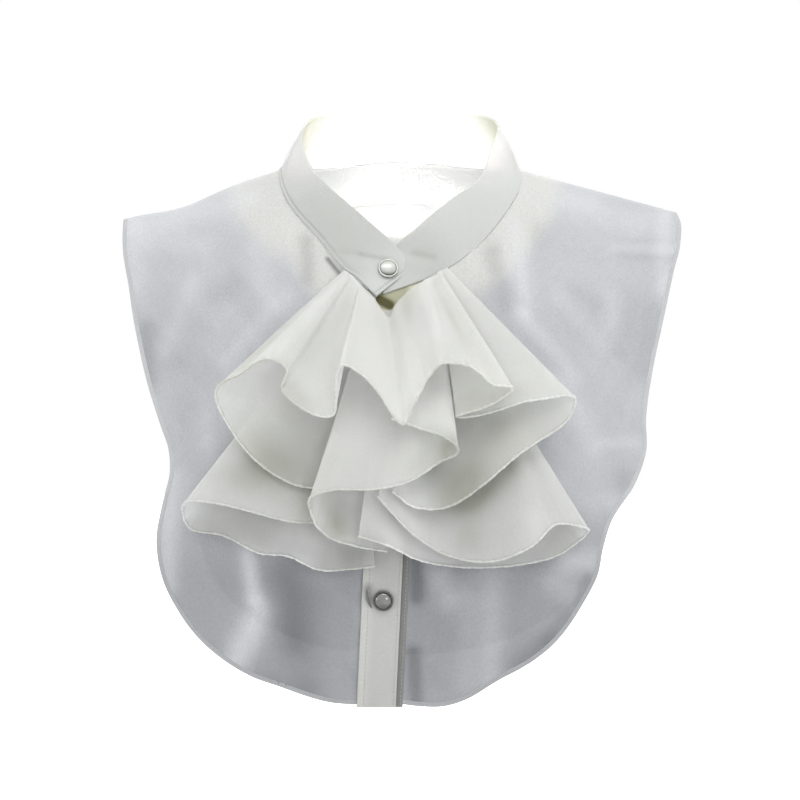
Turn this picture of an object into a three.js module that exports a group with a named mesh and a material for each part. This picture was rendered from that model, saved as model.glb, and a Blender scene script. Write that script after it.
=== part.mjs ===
// Detachable collar: a stand band, a sheer bib front and back, a buttoned placket and a tiered jabot.
// Millimetres, +Z up. The front faces -Y and +X is the viewer's right. The origin lies in the neck opening,
// level with the ridge of the shoulders.
import * as THREE from "three";

// Driving dimensions
const PANEL_WALL = 1.0;
const RUFFLE_WALL = 1.0;
const BAND_WALL = 1.8;
const PLACKET_WALL = 1.5;
const SEAM_GAP = 1.0; // between a panel's neck edge and the band's lower edge
const SHOULDER_GAP = 0.9; // between the front and back panels on the ridge
const LAP = 2.7; // how far the band's left end lies in front of its right end
const PLACKET_WIDTH = 25;
const PLACKET_OUT = 2.1; // the placket's middle, in front of the panels
const UNDER_SHOWS = 4; // the step of the under placket right of the placket
const BUTTON_RADIUS = 6.6;

// The form that the bib is worn on, as horizontal sections: depths in front of and behind the shoulder line
const FORM = [
  { z: -340, front: 100, back: 78, half: 172 },
  { z: -300, front: 106, back: 84, half: 180 },
  { z: -250, front: 111, back: 90, half: 186 },
  { z: -200, front: 110, back: 94, half: 188 },
  { z: -150, front: 103, back: 95, half: 189 },
  { z: -110, front: 93, back: 94, half: 191 },
  { z: -70, front: 78, back: 91, half: 194 },
  { z: -40, front: 65, back: 87, half: 196 },
  { z: -10, front: 56, back: 84, half: 197 },
  { z: 20, front: 52, back: 82, half: 197 },
  { z: 50, front: 50, back: 80, half: 197 },
];
const FLATNESS = 2.4; // exponent of a section's outline across the chest
const NECK_POINT = { x: 79.5, z: 16.2 }; // where the shoulder ridge meets the band
const CORNER_X = 184; // the outer end of the shoulder
const SHOULDER_SLOPE = { left: 0.31, right: 0.27 };
const SHOULDER_DIP = { x: -145, wide: 25, down: 4.5 }; // the left shoulder sags a little
const NECK_SLOPE = 0.42; // the ridge's rise inside the neck point
const FRONT_ROUNDING = 90; // height over which the front turns from the ridge to its full depth
const BACK_ROUNDING = 60;
const BUST = { x: 76, z: -205, wide: 46, tall: 62, out: 14 };

// Soft folds of the bib, as ridges (out above 0) and hollows along a line from one point to the other
const PANEL_FOLDS = [
  { fromX: -97, fromZ: -238, toX: -92, toZ: -310, wide: 9, out: 4 },
  { fromX: -80, fromZ: -250, toX: -74, toZ: -318, wide: 11, out: -3.5 },
  { fromX: -137, fromZ: -60, toX: -106, toZ: -140, wide: 12, out: 3 },
  { fromX: -118, fromZ: -48, toX: -90, toZ: -112, wide: 11, out: -2.5 },
  { fromX: 20, fromZ: -250, toX: 16, toZ: -320, wide: 9, out: -3.5 },
  { fromX: 44, fromZ: -262, toX: 38, toZ: -330, wide: 12, out: 3.5 },
  { fromX: 104, fromZ: -215, toX: 92, toZ: -296, wide: 13, out: 3 },
  { fromX: 127, fromZ: -84, toX: 138, toZ: -108, wide: 8, out: -3 },
  { fromX: 108, fromZ: -34, toX: 172, toZ: -44, wide: 7, out: 2.5 },
];

// Smooth value of a column of a table whose rows run along the column "by"
function columnAt(table, by, column, at) {
  const last = table.length - 1;
  const place = Math.min(Math.max(at, table[0][by]), table[last][by]);
  let i = 0;
  while (i < last - 1 && place > table[i + 1][by]) {
    i += 1;
  }
  const step = table[i + 1][by] - table[i][by];
  const t = (place - table[i][by]) / step;
  const slope = (k) => {
    const a = table[Math.max(k - 1, 0)];
    const b = table[Math.min(k + 1, last)];
    return ((b[column] - a[column]) / (b[by] - a[by])) * step;
  };
  const t2 = t * t;
  const t3 = t2 * t;
  return (
    table[i][column] * (2 * t3 - 3 * t2 + 1) +
    slope(i) * (t3 - 2 * t2 + t) +
    table[i + 1][column] * (3 * t2 - 2 * t3) +
    slope(i + 1) * (t3 - t2)
  );
}

const bell = (distance, width) => Math.exp(-((distance / width) ** 2));

// Height of the shoulder ridge
function ridgeHeight(x) {
  const beyond = Math.abs(x) - NECK_POINT.x;
  if (beyond < 0) {
    return NECK_POINT.z - beyond * NECK_SLOPE;
  }
  const dip = SHOULDER_DIP.down * bell(x - SHOULDER_DIP.x, SHOULDER_DIP.wide);
  return NECK_POINT.z - beyond * (x < 0 ? SHOULDER_SLOPE.left : SHOULDER_SLOPE.right) - dip;
}

// How far the ridge lies above the straight line between its ends
function ridgeBulge(x) {
  const side = Math.sign(x);
  const t = (Math.abs(x) - NECK_POINT.x) / (CORNER_X - NECK_POINT.x);
  const chord = THREE.MathUtils.lerp(ridgeHeight(side * NECK_POINT.x), ridgeHeight(side * CORNER_X), t);
  return t > 0 && t < 1 ? ridgeHeight(x) - chord : 0;
}

// Share of the full depth reached this far below the ridge, like a quarter of an ellipse
function rounding(drop, height) {
  return Math.sqrt(1 - (1 - Math.min(Math.max(drop, 0) / height, 1)) ** 2);
}

function across(x, z) {
  return Math.sqrt(Math.max(1 - (Math.abs(x) / columnAt(FORM, "z", "half", z)) ** FLATNESS, 0));
}

function foldsAt(x, z) {
  let out = 0;
  for (const fold of PANEL_FOLDS) {
    const dx = fold.toX - fold.fromX;
    const dz = fold.toZ - fold.fromZ;
    const along = ((x - fold.fromX) * dx + (z - fold.fromZ) * dz) / (dx * dx + dz * dz);
    const t = THREE.MathUtils.clamp(along, 0, 1);
    out += fold.out * bell(Math.hypot(x - fold.fromX - t * dx, z - fold.fromZ - t * dz), fold.wide);
  }
  return out;
}

// The bib's front and back surfaces, as y over x and z
function frontY(x, z) {
  const drop = ridgeHeight(x) - z;
  const bust = BUST.out * bell(Math.abs(x) - BUST.x, BUST.wide) * bell(z - BUST.z, BUST.tall);
  const depth = columnAt(FORM, "z", "front", z) * across(x, z) + bust + foldsAt(x, z);
  return -SHOULDER_GAP / 2 - depth * rounding(drop, FRONT_ROUNDING);
}

function backY(x, z) {
  const drop = ridgeHeight(x) - z;
  const depth = columnAt(FORM, "z", "back", z) * across(x, z);
  return SHOULDER_GAP / 2 + depth * rounding(drop, BACK_ROUNDING);
}

// A smooth curve through a table's rows, with u from 0 to 1 spread evenly over the rows
function curveThrough(points) {
  const curve = new THREE.CatmullRomCurve3(points, false, "centripetal");
  return (u) => curve.getPoint(u);
}

// A closed wall on a grid of middle points, grid[row][column], half its thickness to each side
function wall(grid, thickness) {
  const rows = grid.length;
  const columns = grid[0].length;
  const last = columns - 1;
  const positions = [];
  const along = new THREE.Vector3();
  const up = new THREE.Vector3();
  for (const side of [1, -1]) {
    for (let i = 0; i < rows; i += 1) {
      for (let j = 0; j < columns; j += 1) {
        up.subVectors(grid[Math.min(i + 1, rows - 1)][j], grid[Math.max(i - 1, 0)][j]);
        along.subVectors(grid[i][Math.min(j + 1, columns - 1)], grid[i][Math.max(j - 1, 0)]);
        const normal = along.cross(up).normalize();
        positions.push(...grid[i][j].clone().addScaledVector(normal, (side * thickness) / 2));
      }
    }
  }
  const at = (side, i, j) => side * rows * columns + i * columns + j;
  const indices = [];
  const quad = (a, b, c, d) => indices.push(a, b, c, a, c, d);
  for (let i = 0; i < rows - 1; i += 1) {
    for (let j = 0; j < columns - 1; j += 1) {
      quad(at(0, i, j), at(0, i, j + 1), at(0, i + 1, j + 1), at(0, i + 1, j));
      quad(at(1, i, j), at(1, i + 1, j), at(1, i + 1, j + 1), at(1, i, j + 1));
    }
  }
  for (let j = 0; j < columns - 1; j += 1) {
    quad(at(0, 0, j), at(1, 0, j), at(1, 0, j + 1), at(0, 0, j + 1));
    quad(at(0, rows - 1, j + 1), at(1, rows - 1, j + 1), at(1, rows - 1, j), at(0, rows - 1, j));
  }
  for (let i = 0; i < rows - 1; i += 1) {
    quad(at(0, i + 1, 0), at(1, i + 1, 0), at(1, i, 0), at(0, i, 0));
    quad(at(0, i, last), at(1, i, last), at(1, i + 1, last), at(0, i + 1, last));
  }
  const geometry = new THREE.BufferGeometry();
  geometry.setAttribute("position", new THREE.Float32BufferAttribute(positions, 3));
  geometry.setIndex(indices);
  geometry.computeVertexNormals();
  return geometry;
}

// Band: neck line and upper edge, from the left end on top, round the back, to the right end beneath.
// The neck line lies on the bib's form, so its row gives only x and z. The upper edge stands free.
const BAND_ROWS = [
  { place: "left end", neckX: -15.5, neckZ: -70, topX: 10.4, topY: -64, topZ: -49.5, lap: 1 },
  { place: "left lap", neckX: -28.5, neckZ: -57.6, topX: -1.9, topY: -61, topZ: -37.1, lap: 1 },
  { place: "left lap edge", neckX: -36, neckZ: -52.5, topX: -14, topY: -58, topZ: -26, lap: 0.85 },
  { place: "left front", neckX: -53, neckZ: -32, topX: -33, topY: -51, topZ: -9, lap: 0.3 },
  { place: "left front turn", neckX: -70, neckZ: -12.5, topX: -51, topY: -36, topZ: 8, lap: 0 },
  { place: "left side front", neckX: -77.5, neckZ: 2, topX: -62.5, topY: -14, topZ: 26, lap: 0 },
  { place: "left neck point", neckX: -79.5, neckZ: 16.2, topX: -64.5, topY: 4, topZ: 43.5, lap: 0 },
  { place: "left side back", neckX: -73, neckZ: 17.5, topX: -58, topY: 24, topZ: 53, lap: 0 },
  { place: "left back", neckX: -48, neckZ: 20, topX: -36, topY: 43, topZ: 58, lap: 0 },
  { place: "centre back", neckX: 0, neckZ: 25.5, topX: 0, topY: 53, topZ: 60, lap: 0 },
  { place: "right back", neckX: 48, neckZ: 20, topX: 36, topY: 43, topZ: 58.5, lap: 0 },
  { place: "right side back", neckX: 73, neckZ: 17.5, topX: 58, topY: 24, topZ: 54, lap: 0 },
  { place: "right neck point", neckX: 79.5, neckZ: 16.2, topX: 65, topY: 4, topZ: 46, lap: 0 },
  { place: "right side front", neckX: 79, neckZ: 3, topX: 59.5, topY: -14, topZ: 28, lap: 0 },
  { place: "right front turn", neckX: 71.5, neckZ: -11, topX: 51.5, topY: -36, topZ: 8.5, lap: 0 },
  { place: "right front", neckX: 57.3, neckZ: -29.7, topX: 34, topY: -50, topZ: -5, lap: 0 },
  { place: "right lap edge", neckX: 38.9, neckZ: -46.4, topX: 16.3, topY: -58, topZ: -19.5, lap: 0 },
  { place: "right lap", neckX: 22, neckZ: -56.5, topX: 1.5, topY: -60, topZ: -32.5, lap: 0 },
  { place: "right end", neckX: -11, neckZ: -68.5, topX: -11, topY: -61, topZ: -45, lap: 0 },
];
const BAND_COLUMNS = 60;
const BAND_STEPS = 3;
const BAND_ROLL = 1.2; // how far the band bows outward between its edges

const rowShare = (place) => BAND_ROWS.findIndex((row) => row.place === place) / (BAND_ROWS.length - 1);
const LEFT_NECK_POINT = rowShare("left neck point");
const RIGHT_NECK_POINT = rowShare("right neck point");

const neckLineFlat = curveThrough(BAND_ROWS.map((row) => new THREE.Vector3(row.neckX, 0, row.neckZ)));
const bandTop = curveThrough(BAND_ROWS.map((row) => new THREE.Vector3(row.topX, row.topY, row.topZ)));
const lapCurve = curveThrough(BAND_ROWS.map((row, index) => new THREE.Vector3(index, row.lap, 0)));

// The seam line between the band and the bib, on the front's surface, the ridge or the back's surface
function neckLine(u) {
  const { x, z: curveZ } = neckLineFlat(u);
  const z = Math.min(curveZ, ridgeHeight(x));
  const onBack = u > LEFT_NECK_POINT && u < RIGHT_NECK_POINT;
  return new THREE.Vector3(x, onBack ? backY(x, z) : frontY(x, z), z);
}

// The middle of the band's thickness: u runs along it and v from its lower to its upper edge
function bandPoint(u, v) {
  const seam = neckLine(u);
  const top = bandTop(u);
  const rise = top.clone().sub(seam);
  seam.addScaledVector(rise, SEAM_GAP / rise.length());
  const point = seam.lerp(top, v);
  const outward = new THREE.Vector3(point.x, point.y, 0).normalize();
  point.addScaledVector(outward, BAND_ROLL * Math.sin(Math.PI * v));
  point.y -= LAP * lapCurve(u).y;
  return point;
}

function gridOf(steps, columns, pointAt) {
  const grid = [];
  for (let i = 0; i <= steps; i += 1) {
    const line = [];
    for (let j = 0; j <= columns; j += 1) {
      line.push(pointAt(j / columns, i / steps));
    }
    grid.push(line);
  }
  return grid;
}

// Outer edge of each panel, from the bottom of the centre front to the shoulder corner
const LEFT_OUTLINE = [
  { x: -25.1, z: -331.5 },
  { x: -45, z: -330 },
  { x: -70, z: -323 },
  { x: -105, z: -309 },
  { x: -129, z: -291 },
  { x: -144, z: -272 },
  { x: -154, z: -252 },
  { x: -158, z: -228 },
  { x: -154, z: -204 },
  { x: -149, z: -184 },
  { x: -150, z: -168 },
  { x: -155, z: -154 },
  { x: -164, z: -128 },
  { x: -173, z: -92 },
  { x: -179, z: -60 },
  { x: -183.5, z: -36 },
  { x: -CORNER_X, z: ridgeHeight(-CORNER_X) },
];
const RIGHT_OUTLINE = [
  { x: 1.8, z: -331 },
  { x: 13, z: -332.5 },
  { x: 27, z: -332.5 },
  { x: 42, z: -328 },
  { x: 63, z: -316 },
  { x: 86, z: -303 },
  { x: 103, z: -288 },
  { x: 117, z: -268 },
  { x: 127, z: -249 },
  { x: 131, z: -230 },
  { x: 137, z: -213 },
  { x: 152, z: -191 },
  { x: 160, z: -169 },
  { x: 160, z: -148 },
  { x: 164, z: -121 },
  { x: 174, z: -78 },
  { x: 181, z: -50 },
  { x: 185, z: -36 },
  { x: 186.5, z: -20 },
  { x: CORNER_X, z: ridgeHeight(CORNER_X) },
];
// The back is plain and the same on both sides, from the centre of its hem up to the shoulder corner, which
// the last row leaves out
const BACK_OUTLINE = [
  { x: 0, z: -312 },
  { x: 40, z: -309 },
  { x: 78, z: -298 },
  { x: 110, z: -279 },
  { x: 131, z: -252 },
  { x: 140, z: -218 },
  { x: 146, z: -178 },
  { x: 155, z: -138 },
  { x: 166, z: -98 },
  { x: 176, z: -58 },
  { x: 183, z: -34 },
];
const PANEL_RAYS = 25;
const PANEL_STEPS = 8;
const BACK_RAYS = 42;
const BACK_STEPS = 7;
const RIDGE_CROWDING = 1.7; // rays lie closer together towards the shoulder ridge
const RIDGE_REACH = 8;
const NECK_INSET = 0.6; // how far a panel's neck edge stays short of the neck line

const outlineCurve = (rows) => curveThrough(rows.map((row) => new THREE.Vector3(row.x, 0, row.z)));

// A panel's surface point on the ray between a neck point and the outline. Seen from the front the ray is
// straight, and close to the ridge, where toRidge nears 1, it bends with the ridge.
function onRay(neck, outer, v, surface, toRidge) {
  const inset = NECK_INSET / Math.hypot(outer.x - neck.x, outer.z - neck.z);
  const share = THREE.MathUtils.lerp(inset, 1, v);
  const x = THREE.MathUtils.lerp(neck.x, outer.x, share);
  const z = THREE.MathUtils.lerp(neck.z, outer.z, share) + ridgeBulge(x) * toRidge ** RIDGE_REACH;
  return new THREE.Vector3(x, surface(x, z), z);
}

// One front panel, from the centre front to the shoulder ridge
function frontPanel(outline, neckFrom, neckTo) {
  const outlineAt = outlineCurve(outline);
  return gridOf(PANEL_STEPS, PANEL_RAYS, (u, v) => {
    const s = 1 - (1 - u) ** RIDGE_CROWDING;
    return onRay(neckLine(THREE.MathUtils.lerp(neckFrom, neckTo, s)), outlineAt(s), v, frontY, s);
  });
}

function backPanel() {
  const [leftAt, rightAt] = [-1, 1].map((side) =>
    outlineCurve([...BACK_OUTLINE, { x: CORNER_X, z: ridgeHeight(side * CORNER_X) }]),
  );
  return gridOf(BACK_STEPS, BACK_RAYS, (u, v) => {
    const side = u < 0.5 ? -1 : 1;
    const s = 1 - Math.abs(2 * u - 1);
    const fromRidge = s ** RIDGE_CROWDING;
    const outer = (side < 0 ? leftAt : rightAt)(1 - fromRidge);
    const along = side < 0 ? fromRidge / 2 : 1 - fromRidge / 2;
    const neck = neckLine(THREE.MathUtils.lerp(LEFT_NECK_POINT, RIGHT_NECK_POINT, along));
    return onRay(neck, { x: side * outer.x, z: outer.z }, v, backY, 1 - fromRidge);
  });
}

// Plackets: two straight strips down the slightly slanting centre front
const PLACKET_TOP = -79;
const PLACKET_BOTTOM = -333;
const CENTRE_LINE = { x: -2.6, z: -71, slant: 0.0481 };
const UNDER_REACH = 9; // how far the under placket reaches left of the centre line
const centreX = (z) => CENTRE_LINE.x + (z - CENTRE_LINE.z) * CENTRE_LINE.slant;

function strip(left, right, out, thickness, steps) {
  const grid = gridOf(steps, 3, (u, v) => {
    const z = THREE.MathUtils.lerp(PLACKET_BOTTOM, PLACKET_TOP, v);
    const x = centreX(z) + THREE.MathUtils.lerp(left, right, u);
    return new THREE.Vector3(x, frontY(x, z) - out, z);
  });
  return wall(grid, thickness);
}

// Ruffles: a row for each fold of the flounce's edge, from one end to the other. x, z and out place the
// hem, sewX, sewZ and sewOut the point where that fold is gathered. out is measured in front of the bib.
// swell is how far the cloth lifts off the straight way between the two, as a share of the rise in out.
const UPPER_FOLDS = [
  { fold: "left back", x: -43, z: -193, out: 14, sewX: -24.5, sewZ: -61.5, sewOut: 2.4, swell: -0.05 },
  { fold: "left back lip", x: -66, z: -190, out: 17, sewX: -28, sewZ: -59, sewOut: 2.4, swell: -0.05 },
  { fold: "left back rise", x: -92, z: -174, out: 20, sewX: -31, sewZ: -56, sewOut: 2.5, swell: -0.03 },
  { fold: "left corner", x: -113, z: -145, out: 30, sewX: -34.5, sewZ: -53.5, sewOut: 2.8, swell: 0.05 },
  { fold: "left tip", x: -116, z: -130, out: 40, sewX: -36, sewZ: -52.5, sewOut: 3.8, swell: 0.15 },
  { fold: "left wing lip", x: -98, z: -118, out: 50, sewX: -35, sewZ: -53, sewOut: 4.9, swell: 0.22 },
  { fold: "left wing crest", x: -83, z: -111, out: 54, sewX: -33.5, sewZ: -54, sewOut: 5.4, swell: 0.22 },
  { fold: "left tuck", x: -71, z: -117, out: 46, sewX: -32, sewZ: -55.5, sewOut: 5.6, swell: 0.2 },
  { fold: "left tuck base", x: -74, z: -130, out: 37, sewX: -30.5, sewZ: -56.5, sewOut: 5.7, swell: 0.15 },
  { fold: "left flute", x: -58, z: -144, out: 40, sewX: -29, sewZ: -58, sewOut: 6.0, swell: 0.18 },
  { fold: "left flute end", x: -43, z: -146, out: 45, sewX: -27, sewZ: -60, sewOut: 6.4, swell: 0.2 },
  { fold: "left centre crest", x: -36, z: -115, out: 58, sewX: -25, sewZ: -62.5, sewOut: 7.0, swell: 0.22 },
  { fold: "centre slope", x: -22, z: -122, out: 60, sewX: -17.5, sewZ: -70, sewOut: 7.6, swell: 0.22 },
  { fold: "centre point", x: 2, z: -152, out: 53, sewX: -7, sewZ: -83.5, sewOut: 8.2, swell: 0.2 },
  { fold: "centre rise", x: 10, z: -136, out: 55, sewX: -3.5, sewZ: -76, sewOut: 7.4, swell: 0.16 },
  { fold: "right valley", x: 17, z: -123, out: 55, sewX: 4, sewZ: -67.5, sewOut: 6.9, swell: 0.1 },
  { fold: "right centre crest", x: 27, z: -114, out: 65, sewX: 15.5, sewZ: -59.5, sewOut: 8.3, swell: 0.26 },
  { fold: "right centre lip", x: 42, z: -115, out: 66, sewX: 19.5, sewZ: -57.5, sewOut: 8.5, swell: 0.24 },
  { fold: "right dip", x: 57, z: -126, out: 61, sewX: 23.5, sewZ: -55.5, sewOut: 8.2, swell: 0.2 },
  { fold: "right point", x: 71, z: -129, out: 57, sewX: 26, sewZ: -54, sewOut: 7.8, swell: 0.2 },
  { fold: "right under lip", x: 57, z: -139, out: 50, sewX: 26, sewZ: -53.5, sewOut: 6.7, swell: 0.15 },
  { fold: "right under fold", x: 35, z: -147, out: 43, sewX: 24, sewZ: -54, sewOut: 6.1, swell: 0.1 },
  { fold: "right wing start", x: 54, z: -145, out: 40, sewX: 26, sewZ: -53, sewOut: 5.4, swell: 0.15 },
  { fold: "right wing lip", x: 82, z: -137, out: 42, sewX: 28.5, sewZ: -52, sewOut: 5.1, swell: 0.2 },
  { fold: "right tip", x: 110, z: -135, out: 40, sewX: 30.5, sewZ: -51, sewOut: 4.6, swell: 0.15 },
  { fold: "right corner", x: 106, z: -149, out: 33, sewX: 29, sewZ: -52, sewOut: 4.0, swell: 0.05 },
  { fold: "right back rise", x: 76, z: -170, out: 27, sewX: 26.5, sewZ: -53.5, sewOut: 3.7, swell: -0.05 },
  { fold: "right back slope", x: 52, z: -190, out: 26, sewX: 23.5, sewZ: -55, sewOut: 3.7, swell: -0.1 },
  { fold: "right back lip", x: 29, z: -204, out: 28, sewX: 19.5, sewZ: -57, sewOut: 3.6, swell: -0.18 },
  { fold: "right back dip", x: 10, z: -204, out: 30, sewX: 17, sewZ: -58, sewOut: 3.5, swell: -0.2 },
  { fold: "right back end", x: -5, z: -194, out: 33, sewX: 15, sewZ: -59, sewOut: 3.4, swell: -0.2 },
];
const MIDDLE_FOLDS = [
  { fold: "under the point", x: -5, z: -148, out: 42, sewX: 9.5, sewZ: -89, sewOut: 9.2, swell: 0.1 },
  { fold: "small flute lip", x: 15, z: -155, out: 47, sewX: 18, sewZ: -86.5, sewOut: 9.4, swell: 0.12 },
  { fold: "small flute turn", x: 30, z: -161, out: 51, sewX: 26, sewZ: -85, sewOut: 10.0, swell: 0.15 },
  { fold: "small flute end", x: 37, z: -169, out: 47, sewX: 27, sewZ: -86.5, sewOut: 9.1, swell: 0.1 },
  { fold: "cone right", x: 25, z: -175, out: 43, sewX: 19.5, sewZ: -88.5, sewOut: 8.2, swell: 0.1 },
  { fold: "cone right lip", x: 9, z: -186, out: 42, sewX: 9, sewZ: -90.5, sewOut: 7.8, swell: 0.15 },
  { fold: "cone front", x: -14, z: -192, out: 41, sewX: -1.5, sewZ: -91.5, sewOut: 7.6, swell: 0.2 },
  { fold: "cone left lip", x: -42, z: -193, out: 40, sewX: -13, sewZ: -91.5, sewOut: 7.2, swell: 0.2 },
  { fold: "cone turn", x: -56, z: -198, out: 36, sewX: -22, sewZ: -89, sewOut: 6.2, swell: 0.15 },
  { fold: "cone back turn", x: -55, z: -211, out: 30, sewX: -25, sewZ: -88.5, sewOut: 4.8, swell: 0.05 },
  { fold: "cone back lip", x: -44, z: -223, out: 25, sewX: -23, sewZ: -90.5, sewOut: 3.8, swell: 0 },
  { fold: "cone back", x: -26, z: -229, out: 22, sewX: -18, sewZ: -92, sewOut: 3.7, swell: -0.05 },
  { fold: "cone back end", x: -8, z: -232, out: 20, sewX: -12, sewZ: -93.5, sewOut: 3.7, swell: -0.05 },
];
const LOWER_LEFT_FOLDS = [
  { fold: "front start", x: -44, z: -214, out: 15, sewX: -24.5, sewZ: -80, sewOut: 1.6, swell: -0.2 },
  { fold: "front lip", x: -69, z: -213, out: 18, sewX: -27, sewZ: -78, sewOut: 1.6, swell: -0.2 },
  { fold: "front rise", x: -94, z: -207, out: 19, sewX: -29.5, sewZ: -76, sewOut: 1.6, swell: -0.17 },
  { fold: "front wave", x: -118, z: -202, out: 20, sewX: -33, sewZ: -73.5, sewOut: 1.7, swell: -0.1 },
  { fold: "left tip", x: -138, z: -202, out: 18, sewX: -35.5, sewZ: -71.5, sewOut: 2.0, swell: 0 },
  { fold: "left turn", x: -139, z: -210, out: 13, sewX: -36.5, sewZ: -72, sewOut: 2.2, swell: 0 },
  { fold: "back corner", x: -134, z: -219, out: 8, sewX: -37.5, sewZ: -74, sewOut: 1.7, swell: 0 },
  { fold: "back wave", x: -113, z: -223, out: 7, sewX: -36, sewZ: -77, sewOut: 1.5, swell: 0 },
  { fold: "back dip", x: -88, z: -234, out: 7, sewX: -34, sewZ: -80.5, sewOut: 1.5, swell: 0 },
  { fold: "back rise", x: -72, z: -235, out: 8, sewX: -32, sewZ: -83, sewOut: 1.5, swell: 0 },
  { fold: "back lip", x: -52, z: -244, out: 7, sewX: -29.5, sewZ: -85.5, sewOut: 1.5, swell: 0 },
  { fold: "back end", x: -35, z: -244, out: 8, sewX: -27, sewZ: -88.5, sewOut: 1.5, swell: 0 },
  { fold: "back edge", x: -16, z: -242, out: 8, sewX: -24.5, sewZ: -91, sewOut: 1.5, swell: 0 },
];
const LOWER_RIGHT_FOLDS = [
  { fold: "inner edge", x: -26, z: -222, out: 30, sewX: -9, sewZ: -96, sewOut: 4.9, swell: 0 },
  { fold: "inner lip", x: -8, z: -228, out: 27, sewX: -4.5, sewZ: -95.5, sewOut: 4.8, swell: 0 },
  { fold: "inner dip", x: 10, z: -237, out: 17, sewX: 1.5, sewZ: -95, sewOut: 4.7, swell: 0 },
  { fold: "back lip", x: 35, z: -242, out: 10, sewX: 12, sewZ: -93, sewOut: 4.3, swell: 0 },
  { fold: "back wave", x: 63, z: -242, out: 8, sewX: 17.5, sewZ: -89.5, sewOut: 1.7, swell: 0 },
  { fold: "back rise", x: 95, z: -237, out: 8, sewX: 22, sewZ: -83.5, sewOut: 1.6, swell: 0 },
  { fold: "right corner", x: 114, z: -226, out: 9, sewX: 26.5, sewZ: -76.5, sewOut: 1.6, swell: 0 },
  { fold: "right tip", x: 120, z: -220, out: 13, sewX: 29, sewZ: -72, sewOut: 1.8, swell: 0 },
  { fold: "right turn", x: 111, z: -216, out: 19, sewX: 28.5, sewZ: -69.5, sewOut: 2.6, swell: 0 },
  { fold: "front curl", x: 98, z: -215, out: 23, sewX: 26.5, sewZ: -68, sewOut: 3.0, swell: 0 },
  { fold: "front dip", x: 84, z: -228, out: 21, sewX: 24, sewZ: -69.5, sewOut: 3.0, swell: -0.12 },
  { fold: "front lip", x: 60, z: -238, out: 20, sewX: 20.5, sewZ: -72, sewOut: 3.0, swell: -0.2 },
  { fold: "front lip middle", x: 35, z: -236, out: 22, sewX: 17.5, sewZ: -74.5, sewOut: 3.1, swell: -0.2 },
  { fold: "front slope", x: 11, z: -223, out: 27, sewX: 13.5, sewZ: -78, sewOut: 3.4, swell: -0.2 },
  { fold: "front end", x: -14, z: -197, out: 34, sewX: 9, sewZ: -81, sewOut: 3.9, swell: -0.2 },
];
const RUFFLE_STEPS = 4;
const RUFFLE_COLUMNS_PER_FOLD = 3;

function ruffle(rows) {
  const hemAt = curveThrough(rows.map((row) => new THREE.Vector3(row.x, row.out, row.z)));
  const seamAt = curveThrough(rows.map((row) => new THREE.Vector3(row.sewX, row.sewOut, row.sewZ)));
  const swellAt = curveThrough(rows.map((row, index) => new THREE.Vector3(index, row.swell, 0)));
  const grid = gridOf(RUFFLE_STEPS, RUFFLE_COLUMNS_PER_FOLD * (rows.length - 1), (u, v) => {
    const seam = seamAt(u);
    const hem = hemAt(u);
    const { x, z } = seam.clone().lerp(hem, v);
    const lift = v + swellAt(u).y * Math.sin(Math.PI * v);
    return new THREE.Vector3(x, frontY(x, z) - THREE.MathUtils.lerp(seam.y, hem.y, lift), z);
  });
  return wall(grid, RUFFLE_WALL);
}

// Buttons: a cup-shaped metal rim and the dome set in it, as profiles of radius and height
const BUTTON_SIDES = 20;
const BUTTON_GAP = 0.35; // between the cup and the cloth, and between the cup and the dome
const CUP_FLOOR = 1.0;
const CUP_HEIGHT = 2.2;
const CUP_LIP = 1.3;
const DOME_HEIGHT = 3.7;
const DOME_EDGE = 1.9;

function lathe(profile) {
  const points = profile.map(([radius, height]) => new THREE.Vector2(radius, height));
  return new THREE.LatheGeometry(points, BUTTON_SIDES);
}

function cup() {
  return lathe([
    [0, 0],
    [BUTTON_RADIUS - 0.5, 0],
    [BUTTON_RADIUS, 0.5],
    [BUTTON_RADIUS, CUP_HEIGHT - 0.6],
    [BUTTON_RADIUS - 0.5, CUP_HEIGHT],
    [BUTTON_RADIUS - CUP_LIP, CUP_HEIGHT - 0.4],
    [BUTTON_RADIUS - CUP_LIP, CUP_FLOOR],
    [0, CUP_FLOOR],
  ]);
}

function dome() {
  const radius = BUTTON_RADIUS - CUP_LIP - BUTTON_GAP;
  const low = CUP_FLOOR + BUTTON_GAP;
  const profile = [
    [0, low],
    [radius, low],
  ];
  const steps = 5;
  for (let i = 0; i <= steps; i += 1) {
    const angle = (Math.PI / 2) * (i / steps);
    const height = DOME_EDGE + (DOME_HEIGHT - DOME_EDGE) * Math.sin(angle);
    profile.push([i === steps ? 0 : radius * Math.cos(angle), height]);
  }
  return lathe(profile);
}

// Turns a button so that its back lies on the cloth, just clear of the face at this point
function seatButton(mesh, point, normal, clothWall) {
  mesh.quaternion.setFromUnitVectors(new THREE.Vector3(0, 1, 0), normal);
  mesh.position.copy(point).addScaledVector(normal, clothWall / 2 + BUTTON_GAP);
  return mesh;
}

function normalOf(pointAt, u, v) {
  const step = 1e-3;
  const along = pointAt(u + step, v).sub(pointAt(u - step, v));
  const up = pointAt(u, v + step).sub(pointAt(u, v - step));
  return along.cross(up).normalize();
}

const LOOKS = {
  sheer: { color: 0xc9ccd3, roughness: 0.85, metalness: 0 },
  ruffle: { color: 0xe6e7e1, roughness: 0.8, metalness: 0 },
  band: { color: 0xdcdeda, roughness: 0.8, metalness: 0 },
  placket: { color: 0xdfe0da, roughness: 0.8, metalness: 0 },
  rim: { color: 0xa6a8aa, roughness: 0.3, metalness: 1 },
  pearl: { color: 0xd9dad6, roughness: 0.2, metalness: 0 },
};
const materials = Object.fromEntries(
  Object.entries(LOOKS).map(([name, look]) => [name, new THREE.MeshStandardMaterial(look)]),
);

const collar = new THREE.Group();

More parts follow.
